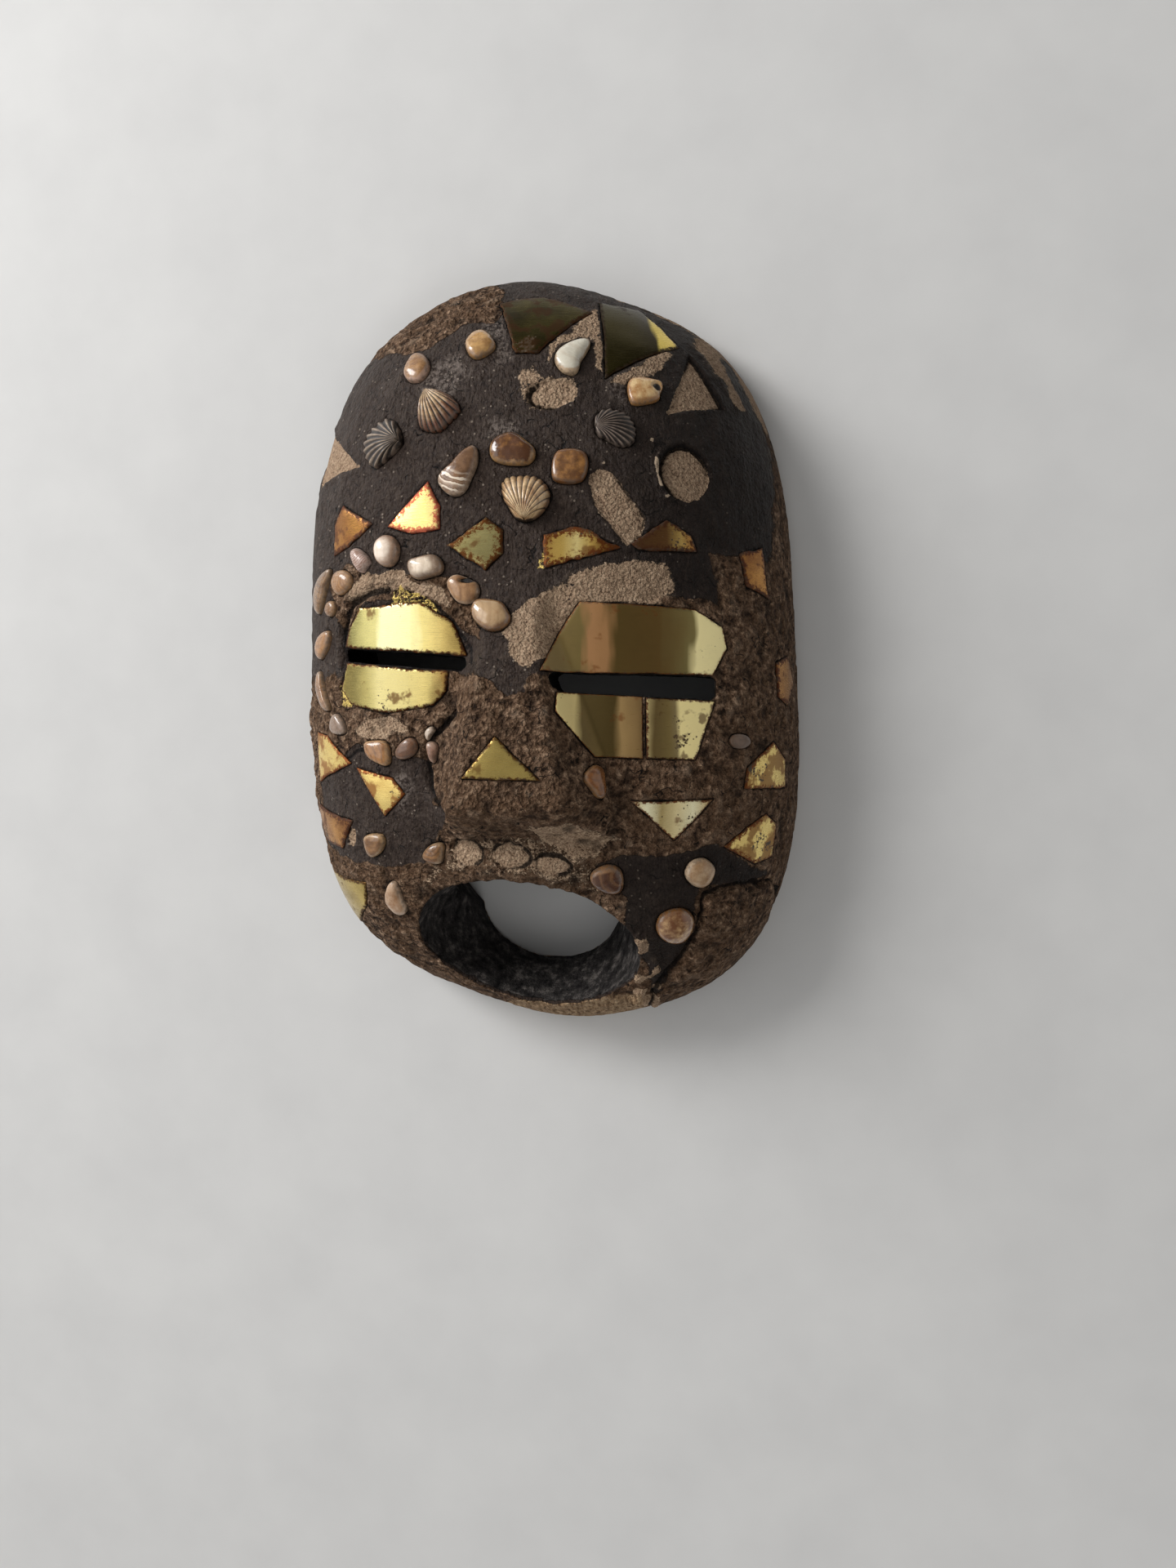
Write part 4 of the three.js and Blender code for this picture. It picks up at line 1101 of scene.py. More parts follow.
# The smooth shells: [name, body, cloud, rim and line colours, looks, form, corners on the face]
SHELLS = (
    # Smooth shells on the forehead
    ("crown_round_shell", ((188, 146, 88), (140, 100, 54), (150, 112, 72), (92, 62, 34)),
     dict(lined=0.15, rough=0.16, coat=0.8), dict(rise=3.6, peak=(-0.1, 0.25), ridge=0.14),
     ((-25.5, 131.6), (-21.8, 136.7), (-16.4, 137.2), (-10.6, 130), (-11.5, 127.1), (-15.6, 124.1),
      (-19, 123.2), (-22.8, 125.3))),
    ("crown_oval_shell", ((162, 122, 80), (122, 86, 54), (178, 146, 128), (100, 68, 42)),
     dict(lines=5, lined=0.3), dict(peak=(0.15, 0.1), ridge=0.08),
     ((-53.6, 120.1), (-52.4, 125.9), (-49.2, 129.9), (-43.9, 128.4), (-40.5, 122.8), (-41.7, 117.7),
      (-44.7, 115.2), (-50.2, 115.8))),
    ("white_drop_shell", ((206, 200, 184), (190, 178, 158), (176, 146, 112), (170, 140, 108)),
     dict(lines=3, lined=0.15, patchy=0.15), dict(rise=3.6, beak=45, peak=(-0.1, -0.1), ridge=0.05),
     ((15, 121), (15.9, 124.9), (19.6, 128.3), (24.3, 130.4), (28.3, 131), (30, 129), (28.2, 123.9),
      (26.1, 120), (26, 116.2), (24.2, 113.4), (20.1, 114.2), (17, 117.2))),
    ("notched_shell", ((212, 182, 134), (154, 104, 54), (150, 104, 58), (176, 128, 74)),
     dict(lines=4, lined=0.3, rim=1.8), dict(rise=3.0, beak=20, ridge=0.1, hole=(0.62, 0.22, 0.26, 0.3)),
     ((46.2, 108.8), (47.7, 111.7), (52.4, 112.3), (57.3, 111.2), (60.5, 110.4), (61, 107.6),
      (59.9, 104.7), (60, 102.5), (57.7, 101), (53.1, 99.8), (49.1, 99.3), (47.4, 102.4))),
    ("banded_mussel", ((134, 100, 72), (96, 68, 48), (170, 146, 124), (236, 220, 200)),
     dict(lines=9, lined=0.9, late=0.5, rough=0.18), dict(rise=4.6, beak=62, peak=(0.1, 0.15), ridge=0.08),
     ((-15.6, 83.3), (-19.1, 82.2), (-22.4, 79.5), (-26.5, 74.7), (-31.7, 70.8), (-32, 67.5),
      (-28.7, 63.5), (-25.1, 61.6), (-21.7, 61.8), (-19.1, 64.2), (-17.2, 69), (-15.2, 73.1),
      (-14.4, 78.1))),
    ("brown_saddle_shell", ((158, 108, 52), (80, 46, 20), (180, 140, 94), (96, 58, 26)),
     dict(lines=3, lined=0.15, patchy=0.46, rough=0.12),
     dict(rise=4.2, beak=190, peak=(0.0, 0.3), ridge=0.12, dimple=0.12),
     ((-9.7, 79.5), (-9.3, 83.7), (-5.7, 86.6), (-0.7, 88), (2.6, 86.6), (6.9, 83), (9.9, 80.4),
      (10, 76.6), (7.3, 73.7), (1.5, 73.5), (-5.2, 74.7), (-8.6, 76.5))),
    ("brown_square_shell", ((160, 112, 58), (96, 60, 28), (110, 70, 36), (60, 36, 18)),
     dict(lines=4, lined=0.2, patchy=0.33), dict(rise=2.6, fullness=4.5, ridge=0.16),
     ((16.9, 68.3), (16.9, 75), (18.8, 79.2), (22, 79.9), (26.8, 79.8), (30.9, 78.1), (32.2, 74.7),
      (31.8, 69.7), (30.1, 66), (26.5, 65), (21.7, 65.1), (18, 66.3))),
    # Smooth shells about the left eye
    ("pearl_oval_shell", ((236, 218, 200), (206, 178, 152), (150, 112, 84), (182, 150, 124)),
     dict(lined=0.1, patchy=0.1, rough=0.1, coat=1.0, rim=3.6), dict(rise=5.0, ridge=0.02, fullness=2.0),
     ((-62.1, 41.5), (-60.8, 45.6), (-56.8, 47.7), (-52.3, 46.5), (-49.5, 42.1), (-50.2, 36.8),
      (-53.2, 33.6), (-57.1, 33.5), (-60.7, 36.3))),
    ("pearl_bean_shell", ((230, 212, 190), (184, 156, 126), (110, 78, 52), (140, 106, 76)),
     dict(lined=0.2, patchy=0.1, rough=0.1, coat=1.0, rim=3.2),
     dict(rise=4.6, beak=180, ridge=0.05, fullness=2.2),
     ((-45.6, 33.5), (-44.5, 36), (-41.7, 36.6), (-37.1, 37.5), (-32.7, 37.7), (-29.5, 35.1),
      (-28.4, 31.7), (-29.9, 29), (-34.4, 28), (-39.9, 26.8), (-43.6, 28.5))),
    ("small_cone_shell", ((186, 162, 152), (150, 116, 98), (196, 172, 160), (116, 76, 54)),
     dict(lines=12, lined=0.7), dict(rise=3.6, beak=120, ridge=0.1),
     ((-74.9, 40.3), (-74.4, 42.8), (-71.5, 43.5), (-67.1, 40.3), (-63.9, 36.6), (-66.5, 34.3),
      (-68.7, 31.6), (-71.4, 34), (-73.7, 37.2))),
    ("temple_leaf_shell", ((158, 116, 74), (126, 88, 54), (170, 134, 98), (108, 74, 44)),
     dict(lines=9, lined=0.5), dict(rise=3.0, beak=0, ridge=0.08),
     ((-87.5, 29.7), (-85.4, 34.2), (-80.3, 34.9), (-76.1, 32.7), (-74.3, 29.2), (-76.7, 25.5),
      (-82.8, 23.1), (-86.1, 26.1))),
    ("temple_sliver_shell", ((140, 102, 66), (112, 80, 52), (150, 118, 86), (96, 66, 40)),
     dict(lines=6, lined=0.4), dict(rise=2.2),
     ((-92.6, 18.1), (-90.3, 21.8), (-86.8, 21.8), (-85.2, 19), (-86.2, 15.7), (-89.8, 14.3))),
    ("temple_long_shell", ((140, 108, 76), (112, 84, 58), (150, 124, 96), (88, 64, 44)),
     dict(lines=8, lined=0.5), dict(rise=2.6, beak=70),
     ((-101.4, 28.2), (-97.6, 33.8), (-90.4, 36.6), (-87.5, 35.4), (-91.8, 28.5), (-94.2, 21.8),
      (-97.6, 16), (-101.4, 19.2))),
    ("broken_shell", ((170, 130, 90), (132, 94, 62), (196, 170, 146), (90, 60, 38)),
     dict(lines=4, lined=0.3), dict(rise=3.6, beak=200, hole=(0.3, 0.55, 0.5, 0.2)),
     ((-27.5, 25.2), (-25.5, 28), (-22.5, 28.7), (-20.3, 27.9), (-16.9, 26.4), (-13.4, 24.5),
      (-12.4, 20.5), (-14.2, 17), (-18.7, 15.8), (-22.6, 16.9), (-25.6, 20.7))),
    ("cream_round_shell", ((184, 152, 112), (150, 104, 64), (118, 78, 46), (122, 82, 48)),
     dict(lined=0.2, patchy=0.1, rough=0.1, coat=1.0, rim=2.4),
     dict(rise=4.2, beak=180, ridge=0.04, fullness=2.1),
     ((-15.2, 11), (-13.7, 15.7), (-10.3, 17), (-4.9, 16.7), (-1.1, 15.4), (1.3, 11.6), (2.4, 8.9),
      (0.8, 6), (-2.4, 4), (-7.3, 3.8), (-13.1, 6.3))),
    ("left_flank_upper_shell", ((164, 120, 78), (130, 92, 58), (150, 118, 88), (110, 76, 48)),
     dict(lines=6, lined=0.35), dict(rise=2.6),
     ((-100.6, 2.1), (-97.8, 7.1), (-91.2, 9.2), (-88.7, 7.2), (-90.7, 1.2), (-96.2, -4.5),
      (-99.7, -2.5))),
    ("left_flank_lower_shell", ((150, 112, 78), (118, 86, 60), (150, 124, 98), (96, 68, 46)),
     dict(lines=6, lined=0.35), dict(rise=2.4),
     ((-99.7, -9.1), (-96.7, -9.3), (-94.9, -16.1), (-92.1, -22.8), (-89.6, -27.3), (-94.8, -27.5),
      (-98.6, -21.9), (-100.7, -15.8))),
    ("left_cheek_pale_shell", ((146, 122, 104), (118, 96, 80), (150, 128, 110), (104, 82, 66)),
     dict(lines=5, lined=0.3), dict(rise=2.2),
     ((-90.5, -35.7), (-88.9, -29.6), (-85.7, -28.4), (-81.4, -32.7), (-79.7, -36.8), (-83.1, -38.3),
      (-88.5, -37.8))),
    # Shells of the left cheek, in a row like teeth
    ("cheek_tooth_shell_1", ((160, 112, 64), (124, 82, 44), (176, 138, 98), (84, 54, 30)),
     dict(lines=5, lined=0.4), dict(rise=2.8, beak=200, ridge=0.1),
     ((-69.3, -41.2), (-64.5, -40.7), (-58.5, -40.7), (-56.3, -43.2), (-55.7, -49.6), (-57.9, -52.1),
      (-62.6, -50.6), (-67.4, -48.2), (-69.1, -45.2))),
    ("cheek_tooth_shell_2", ((116, 80, 56), (90, 60, 40), (150, 116, 94), (76, 50, 34)),
     dict(lines=5, lined=0.4), dict(rise=2.8),
     ((-53.3, -45.6), (-50.4, -41.7), (-46.4, -39.3), (-43.2, -40.3), (-42.2, -43.7), (-44.1, -47.1),
      (-48.6, -49), (-52.5, -48.6))),
    ("cheek_tooth_shell_3", ((140, 104, 84), (110, 80, 64), (170, 138, 118), (92, 66, 52)),
     dict(lines=4, lined=0.3), dict(rise=2.4),
     ((-38.2, -41.7), (-35.2, -40.8), (-32.5, -42.7), (-33.1, -46.5), (-34.4, -50.9), (-36.6, -49.5),
      (-37.7, -45.6))),
    ("cheek_crescent_shell", ((196, 180, 164), (170, 150, 132), (186, 166, 146), (150, 124, 104)),
     dict(lines=3, lined=0.2), dict(rise=1.8),
     ((-38.9, -37.9), (-37.4, -35.6), (-35, -34.6), (-33.6, -36.4), (-35.9, -38.7), (-37.2, -41.4))),
    # Shells round the mouth and on the right cheek
    ("left_jaw_shell", ((136, 98, 60), (104, 70, 38), (178, 144, 104), (90, 60, 34)),
     dict(lines=4, lined=0.4, rim=1.6), dict(rise=2.8, dimple=0.2),
     ((-73.8, -84.6), (-72, -82.9), (-66.8, -82.1), (-62.5, -82.7), (-62.1, -86), (-64.9, -90.9),
      (-69.8, -93.5), (-72.7, -91.4))),
    ("lip_left_shell", ((134, 94, 54), (88, 56, 30), (160, 130, 98), (66, 42, 22)),
     dict(lines=6, lined=0.55), dict(rise=3.0, ridge=0.1),
     ((-43.7, -90.9), (-40.9, -87.3), (-37.2, -85.1), (-32.6, -85.3), (-33.2, -90.1), (-34.2, -94.3),
      (-38.6, -94.7), (-42.7, -93))),
    ("chin_cream_shell", ((184, 154, 126), (150, 110, 74), (196, 168, 142), (140, 102, 70)),
     dict(lines=3, lined=0.25), dict(rise=3.0, beak=100, ridge=0.08),
     ((-67.1, -113.2), (-63.7, -105.2), (-60.4, -103.6), (-58.4, -105.9), (-57.7, -111.4),
      (-55.9, -115.7), (-57.2, -119.8), (-61.6, -120.2), (-65.1, -117))),
    ("nose_side_shell", ((142, 92, 48), (108, 66, 34), (150, 112, 76), (80, 48, 26)),
     dict(lines=4, lined=0.35), dict(rise=3.0, beak=100, peak=(-0.2, 0.2)),
     ((31.3, -55.2), (33, -52.3), (35.2, -51), (37.9, -53), (38.3, -57.5), (38.9, -62.1),
      (38.1, -65.5), (35.9, -64.6), (34, -61), (32, -58.2))),
    ("buried_shell", ((104, 78, 60), (84, 62, 46), (96, 74, 58), (70, 50, 38)),
     dict(lines=4, lined=0.3, rough=0.5), dict(rise=1.3),
     ((88.5, -42.5), (89.9, -39.7), (93.2, -39.1), (96.5, -40.5), (97.5, -43.4), (94.5, -45.8),
      (90.5, -45.3))),
    ("lip_right_shell", ((112, 66, 36), (74, 42, 22), (150, 112, 78), (156, 114, 74)),
     dict(lines=3, lined=0.3, patchy=0.5, rough=0.18), dict(rise=4.0, beak=30, peak=(-0.1, 0.0), ridge=0.1),
     ((30.2, -99.7), (32.3, -96.4), (37.2, -93.9), (41.8, -94.4), (44.4, -96.9), (44.4, -103.5),
      (43, -106.9), (39.5, -107.5), (35.6, -106.1), (31.9, -103.4))),
    ("cheek_cream_shell", ((186, 158, 126), (150, 116, 80), (196, 172, 144), (128, 92, 60)),
     dict(lines=3, lined=0.25, patchy=0.3), dict(rise=4.0, beak=120),
     ((69.6, -98.4), (71.3, -94.4), (74.3, -92.5), (78.5, -92.3), (81.9, -95.9), (81.8, -99.2),
      (79.8, -103.3), (76.6, -105.6), (72.8, -104.5), (70.3, -101.4))),
    ("jaw_round_shell", ((204, 166, 116), (110, 66, 32), (130, 88, 50), (108, 66, 34)),
     dict(lined=0.2, patchy=0.36, rough=0.12, coat=0.9), dict(rise=4.6, fullness=2.1, ridge=0.04),
     ((56.7, -121.9), (58.4, -117.6), (62.4, -115.3), (67.8, -114.5), (71.6, -116.5), (73, -120.2),
      (71.1, -126.4), (67.8, -130.3), (63.8, -131.2), (59.2, -129.3), (56.7, -125.5))),
)

for number, (name, finish, cut, corners) in enumerate(SHEETS, 1):
    brass_sheet(name, finish, corners, 2 * number + 1, **cut)
for number, (name, hinge, ribs, colours, looks, form, corners) in enumerate(COCKLES, 1):
    ribbed_shell(name, corners, hinge, ribs, shell_finish(name, colours, **looks), 2 * number, **form)
for number, (name, colours, looks, form, corners) in enumerate(SHELLS, 1):
    domed_shell(name, corners, shell_finish(name, colours, **looks), number, **form)


# Beds that have lost their inlay: a sandy floor below the paste, with a sunk gap along part of its edge,
# darkened with painted shade.
# The gap is [how deep, its bearing from the right and counter-clockwise, how far round it goes], where
# 1 is a quarter each way
def emptied(corners, depth, gap=(0, 0, 1)):
    seat = seat_at(*np.mean(corners, axis=0))
    beds.append((seat, laid_on(seat, corners), depth, gap))


def emptied_oval(x, y, width, length, depth, turn=0.0, gap=(0, 0, 1)):
    around = np.linspace(0, 2 * math.pi, 24, endpoint=False)
    outline = np.column_stack([np.cos(around) * width / 2, np.sin(around) * length / 2])
    beds.append((seat_at(x, y, turn), outline, depth, gap))


emptied_oval(15.5, 105.5, 21, 14, 1.4, 8, gap=(2.0, 205, 0.9))
emptied_oval(71.5, 70.5, 23, 24.5, 1.4, gap=(2.2, 130, 1.7))
emptied(((32, 69), (37, 72), (42, 70), (56, 51), (54, 42), (48, 39), (35, 56)), 1.4, gap=(0.8, 20, 1.0))
emptied(((71, 127), (86, 102), (63, 96)), 1.2, gap=(1.2, 30, 0.8))
emptied(((-101, 108), (-85, 91), (-73, 80), (-104, 77), (-108, 97)), 1.2)
emptied_oval(-22, -89, 15, 11, 1.0, -15, gap=(1.3, 60, 2.0))
emptied_oval(-2, -90, 18, 11, 0.8, -10, gap=(1.3, 60, 2.0))
emptied_oval(16, -94, 16, 10, 0.6, -15, gap=(1.3, 60, 2.0))
emptied_oval(-82, -85, 5, 10, 1.2, -30)



# Where the paste is brown and gritty, and where it stays dark and smooth below the eyes
GRITTY = (
    ((-105, 146), (-66, 133), (-45, 132), (-36, 138), (-27, 144), (-15, 142), (-11, 146), (-13, 162),
     (-48, 190), (-80, 175), (-98, 160)),
    ((-31, -40), (-26, -28), (-23, -20), (-9, -18), (0, -24), (10, -22), (15, -16), (19, -22),
     (24, -32), (27, -49), (33, -59), (40, -68), (28, -74), (2, -73), (-19, -71), (-35, -68)),
    ((22, 8), (20, -2), (19, -12), (21, -22), (24, -32), (30, -47), (37, -53), (58, -54), (78, -53),
     (90, -41), (91, -22), (93, -5), (90, 12), (81, 17), (59, 19)),
    ((81, 38), (130, 36), (130, -22), (122, -84), (84, -75), (92, -22)),
    ((108, 138), (130, 76), (134, -41), (120, -120), (106, 33)),
    ((-110, -90), (-102, -93), (-65, -98), (-39, -92), (-42, -150), (-80, -195), (-125, -150)),
    ((76, -106), (120, -104), (120, -140), (91, -190), (45, -195), (48, -164), (68, -134)),
    ((-90, 28), (-80, 36), (-60, 30), (-24, 28), (-12, 16), (-12, 0), (-24, 10), (-44, 20), (-70, 19),
     (-80, 5)),
)
SMOOTH = (
    ((-102, -59), (-75, -43), (-39, -49), (-33, -59), (-27, -72), (-39, -88), (-38, -96), (-53, -103),
     (-65, -97), (-85, -98), (-103, -91)),
    ((33, -92), (48, -91), (71, -89), (84, -87), (98, -98), (105, -101), (98, -104), (84, -107),
     (77, -113), (75, -123), (73, -132), (63, -143), (51, -158), (52, -142), (43, -127), (45, -109),
     (35, -101)),
    ((-16, 1), (-5, 4), (1, 1), (5, -8), (10, -13), (9, -21), (0, -23), (-7, -16), (-12, -11)),
)
SANDY = (
    ((0, 9), (11, 17), (24, 26), (36, 31), (53, 34), (64, 33), (68, 27), (66, 19), (58, 15), (30, 15),
     (26, 11), (21, 1), (17, -7), (12, -12), (7, -10), (3, -5), (-1, 1)),
    ((-77, 26), (-69, 33), (-60, 31), (-49, 33), (-43, 26), (-30, 23), (-26, 16), (-38, 20),
     (-53, 25), (-66, 22), (-75, 18)),
    ((12, 129), (19, 135), (29, 151), (33, 135), (36, 115), (33, 117), (30, 131), (22, 131),
     (16, 127), (12, 122)),
    ((39, 109), (43, 115), (51, 120), (62, 128), (65, 126), (62, 120), (54, 114), (48, 110)),
    ((70, 139), (77, 141), (89, 119), (96, 105), (93, 103), (85, 116), (73, 131)),
    ((-74, -35), (-65, -31), (-55, -31), (-46, -33), (-47, -38), (-59, -40), (-71, -40)),
    ((7, -77), (15, -75), (26, -76), (35, -79), (45, -82), (37, -86), (31, -91), (23, -89), (14, -85)),
)
HALF_SANDY = (
    (0.6,
     ((-2, 118), (2, 120), (10, 120), (12, 114), (24, 113), (26, 108), (25, 103), (18, 98), (9, 97),
      (2, 100), (0, 106))),
    (0.47,
     ((-50, -107), (-45, -98), (-33, -90), (-25, -81), (8, -80), (30, -88), (42, -96), (40, -110),
      (22, -106), (5, -102), (-17, -99), (-34, -101), (-46, -109))),
)
DUSTY = (
    ((-44, 110), (-28, 106), (-22, 118), (-30, 128), (-42, 122)),
    ((-24, 150), (-14, 152), (-4, 124), (-10, 120), (-16, 138)),
    ((40, 104), (48, 100), (46, 118), (38, 112)),
    ((-62, -60), (-50, -52), (-44, -62), (-52, -72)),
    ((-10, 95), (2, 92), (4, 84), (-12, 88)),
)
GILT = (
    ((-54, 18), (-52, 24), (-49, 25.5), (-46, 22), (-41, 22), (-35, 18), (-30, 12), (-40, 17)),
    ((-84, -17), (-80, -14), (-76, -26), (-82, -26)),
    ((11, 30), (14.5, 37), (15, 30)),
)
BARE_WOOD = (((-30, -172), (-10, -163), (14, -160), (48, -158), (46, -192), (-9, -196), (-40, -190)),)
LUMP = (
    (78, -110), (85, -107), (98, -105), (108, -111), (105, -128), (97, -144), (83, -161), (67, -172),
    (49, -177), (51, -158), (66, -140), (75, -126), (76, -117),
)
CRUMBS = ((42, -146), (46, -128), (55, -128), (57, -146), (52, -170), (41, -168))
MOUTH_ROOM = ((-62, -180), (58, -180), (58, -94), (-62, -94))
LEFT_EYE_GROOVE = ((-80, -8), (-81.5, 5), (-79, 14), (-74, 20), (-66, 23), (-56, 24))
LEFT_EYE_CRACK = ((-45, 22), (-34, 17), (-25, 10), (-18, -1), (-16, -9))
NOSE_CREASE = ((-24, -28), (-29, -33), (-36, -40), (-38, -51), (-37, -61), (-32, -68), (-28, -72))
CHEEK_CREASE = ((-101, -58), (-88, -55), (-76, -46), (-60, -43))
# Grooves: [path, how deep, half its width]
GROOVES = (
    (LEFT_EYE_GROOVE, 2.8, 1.5),
    (LEFT_EYE_CRACK, 1.2, 0.8),
    (NOSE_CREASE, 2.2, 1.3),
    (CHEEK_CREASE, 0.8, 1.0),
)
SLIVER = ((59.3, 76), (60.2, 70), (61.8, 65))
BONE_CRUMBS = ((57.5, 84), (38, 74), (50, 41), (64, 60))


def zone_share(points, outlines, soft):
    """1 inside any of the outlines, fading to 0 over a soft border."""
    share = np.zeros(len(points))
    for outline in outlines:
        share = np.maximum(share, smooth_between(-edge_distance(points[:, :2], outline), -soft, soft))
    return share


# The body: face, hollow, mouth and slits cut from one another, then skinned and worked over
def carved_block():
    climbs = [ring / DOME_RINGS * math.pi / 2 for ring in range(DOME_RINGS, -1, -1)]
    dome_profile = [(0, 0), (1, 0)] + [
        (max(math.sin(c), 0) ** (2 / DOME_POWER), max(math.cos(c), 0) ** (2 / DOME_POWER)) for c in climbs[1:]
    ]

    def dome_place(unit):
        radius = outline_radius(np.arctan2(unit[:, 1], unit[:, 0]))
        x = DOME_MIDDLE[0] + unit[:, 0] * radius * HALF_WIDTH
        y = DOME_MIDDLE[1] + unit[:, 1] * radius * HALF_LENGTH
        height = np.where(unit[:, 2] > 0, unit[:, 2] * DOME_HEIGHT + relief(x, y), 0)
        return np.column_stack([x, y, height])

    def hollow_place(unit):
        angle = np.arctan2(unit[:, 1], unit[:, 0])
        upper = unit[:, 1] > 0
        radius = np.where(
            upper, oblong_radius(angle, HOLLOW["upper_power"]), oblong_radius(angle, HOLLOW["lower_power"]),
        )
        x = unit[:, 0] * radius * HOLLOW["half_width"]
        y = HOLLOW["y"] + unit[:, 1] * radius * np.where(upper, HOLLOW["upper"], HOLLOW["lower"])
        return np.column_stack([x, y, np.where(unit[:, 2] > 0, unit[:, 2] * HOLLOW["height"], unit[:, 2])])

    def mouth_place(unit):
        open_share = smooth_between(unit[:, 2], 0, MOUTH_FUNNEL)
        at = {
            key: back + (MOUTH_FRONT[key] - back) * open_share
            for key, back in MOUTH_BACK.items()
        }
        across = unit[:, 0] * at["half_width"]
        along = unit[:, 1] * at["half_height"]
        x = at["x"] + across * math.cos(MOUTH_TILT) - along * math.sin(MOUTH_TILT)
        y = at["y"] + across * math.sin(MOUTH_TILT) + along * math.cos(MOUTH_TILT)
        return np.column_stack([x, y, unit[:, 2]])

    dome = turned_form(dome_profile, DOME_SPOKES)
    put_vertices(dome, dome_place(vertex_places(dome)))
    below = [(0, -CUTTER_DEPTH), (1, -CUTTER_DEPTH)]
    hollow = turned_form([*below, *HOLLOW_PROFILE], HOLLOW_SPOKES)
    put_vertices(hollow, hollow_place(vertex_places(hollow)))
    steps = [(1, MOUTH_FUNNEL * ring / MOUTH_RINGS) for ring in range(MOUTH_RINGS + 1)]
    mouth = turned_form([*below, *steps, (1, CUTTER_REACH), (0, CUTTER_REACH)], MOUTH_SPOKES)
    put_vertices(mouth, mouth_place(vertex_places(mouth)))
    cutters = [as_object(hollow, "hollow"), as_object(mouth, "mouth")]
    for number, corners in enumerate(SLITS):
        bm = bmesh.new()
        floor = bm.faces.new([bm.verts.new((*corner, -CUTTER_DEPTH)) for corner in corners])
        raised = only_vertices(bmesh.ops.extrude_face_region(bm, geom=[floor])["geom"])
        bmesh.ops.translate(bm, verts=raised, vec=(0, 0, CUTTER_REACH))
        bmesh.ops.recalc_face_normals(bm, faces=bm.faces)
        cutters.append(as_object(bm, f"slit_{number}"))

    block = as_object(dome, "mask_face")
    for cutter in cutters:
        cut = block.modifiers.new(cutter.name, "BOOLEAN")
        cut.object = cutter
        cut.operation = "DIFFERENCE"
        cut.solver = "EXACT"
    skin = block.modifiers.new("skin", "REMESH")
    skin.mode = "VOXEL"
    skin.voxel_size = SKIN_CELL
    with_modifiers_applied(block)
    for cutter in cutters:
        bpy.data.objects.remove(cutter)
    return block


def press_in(bed, points, move, high, sand, tar_and_shade):
    """Sinks a bed into the paste and raises a rim round it, by changing the values of the points near it; its
    gap and edge get painted shade, with some tar.
    """
    seat, outline, depth, gap_kept = bed
    local = into_seat(seat, points)
    reach = np.abs(outline).max(axis=0) + 5
    near = np.flatnonzero((np.abs(local) < (*reach, 25)).all(axis=1))
    if not len(near):
        return
    away = edge_distance(local[near, :2], outline)
    if gap_kept:
        gap_depth, gap_bearing, gap_length = gap_kept
        away = away + 0.35 * layered(points[near], 3.0, 81)
        inside = smooth_between(-away, -0.4, 0.7)
        move[near] = move[near] * (1 - 0.75 * inside) - depth * inside
        high[near] *= 1 - 0.8 * inside
        bearing = np.arctan2(local[near, 1], local[near, 0]) - math.radians(gap_bearing)
        fades, full = math.cos(gap_length * math.pi / 2) - 0.2, 1.0 - 0.35 * gap_length
        ring = gap_depth * smooth_between(np.cos(bearing), fades, full) * bell(away, -0.3, 0.85)
        move[near] += 0.7 * bell(away, 1.5, 0.9) * (0.6 + layered(points[near], 4.0, 83)) - ring
        sand[near] = np.maximum(sand[near], smooth_between(-away, -0.4, 0.4))
        # Painted shade, with some tar, in the gap and along the edge
        painted_edge_shade = np.maximum(0.5 * bell(away, 0.1, 0.5), np.minimum(ring, 1.0))
        tar_and_shade[near] = np.maximum(tar_and_shade[near], painted_edge_shade)
    else:
        inside = smooth_between(-away, -0.1, 1.4)
        calm = smooth_between(-away, -3.0, 0.2)
        move[near] = move[near] * (1 - 0.8 * calm) - (depth + 0.4) * inside
        rim = bell(away, 1.7, 1.0) * (0.25 + 0.4 * layered(points[near], 4.0, 85))
        move[near] += rim - 0.35 * bell(away, 0, 0.7)
        # Painted shade, with some tar, round the edge of the inlay
        tar_and_shade[near] = np.maximum(tar_and_shade[near], smooth_between(-away, -1.3, 0.1))


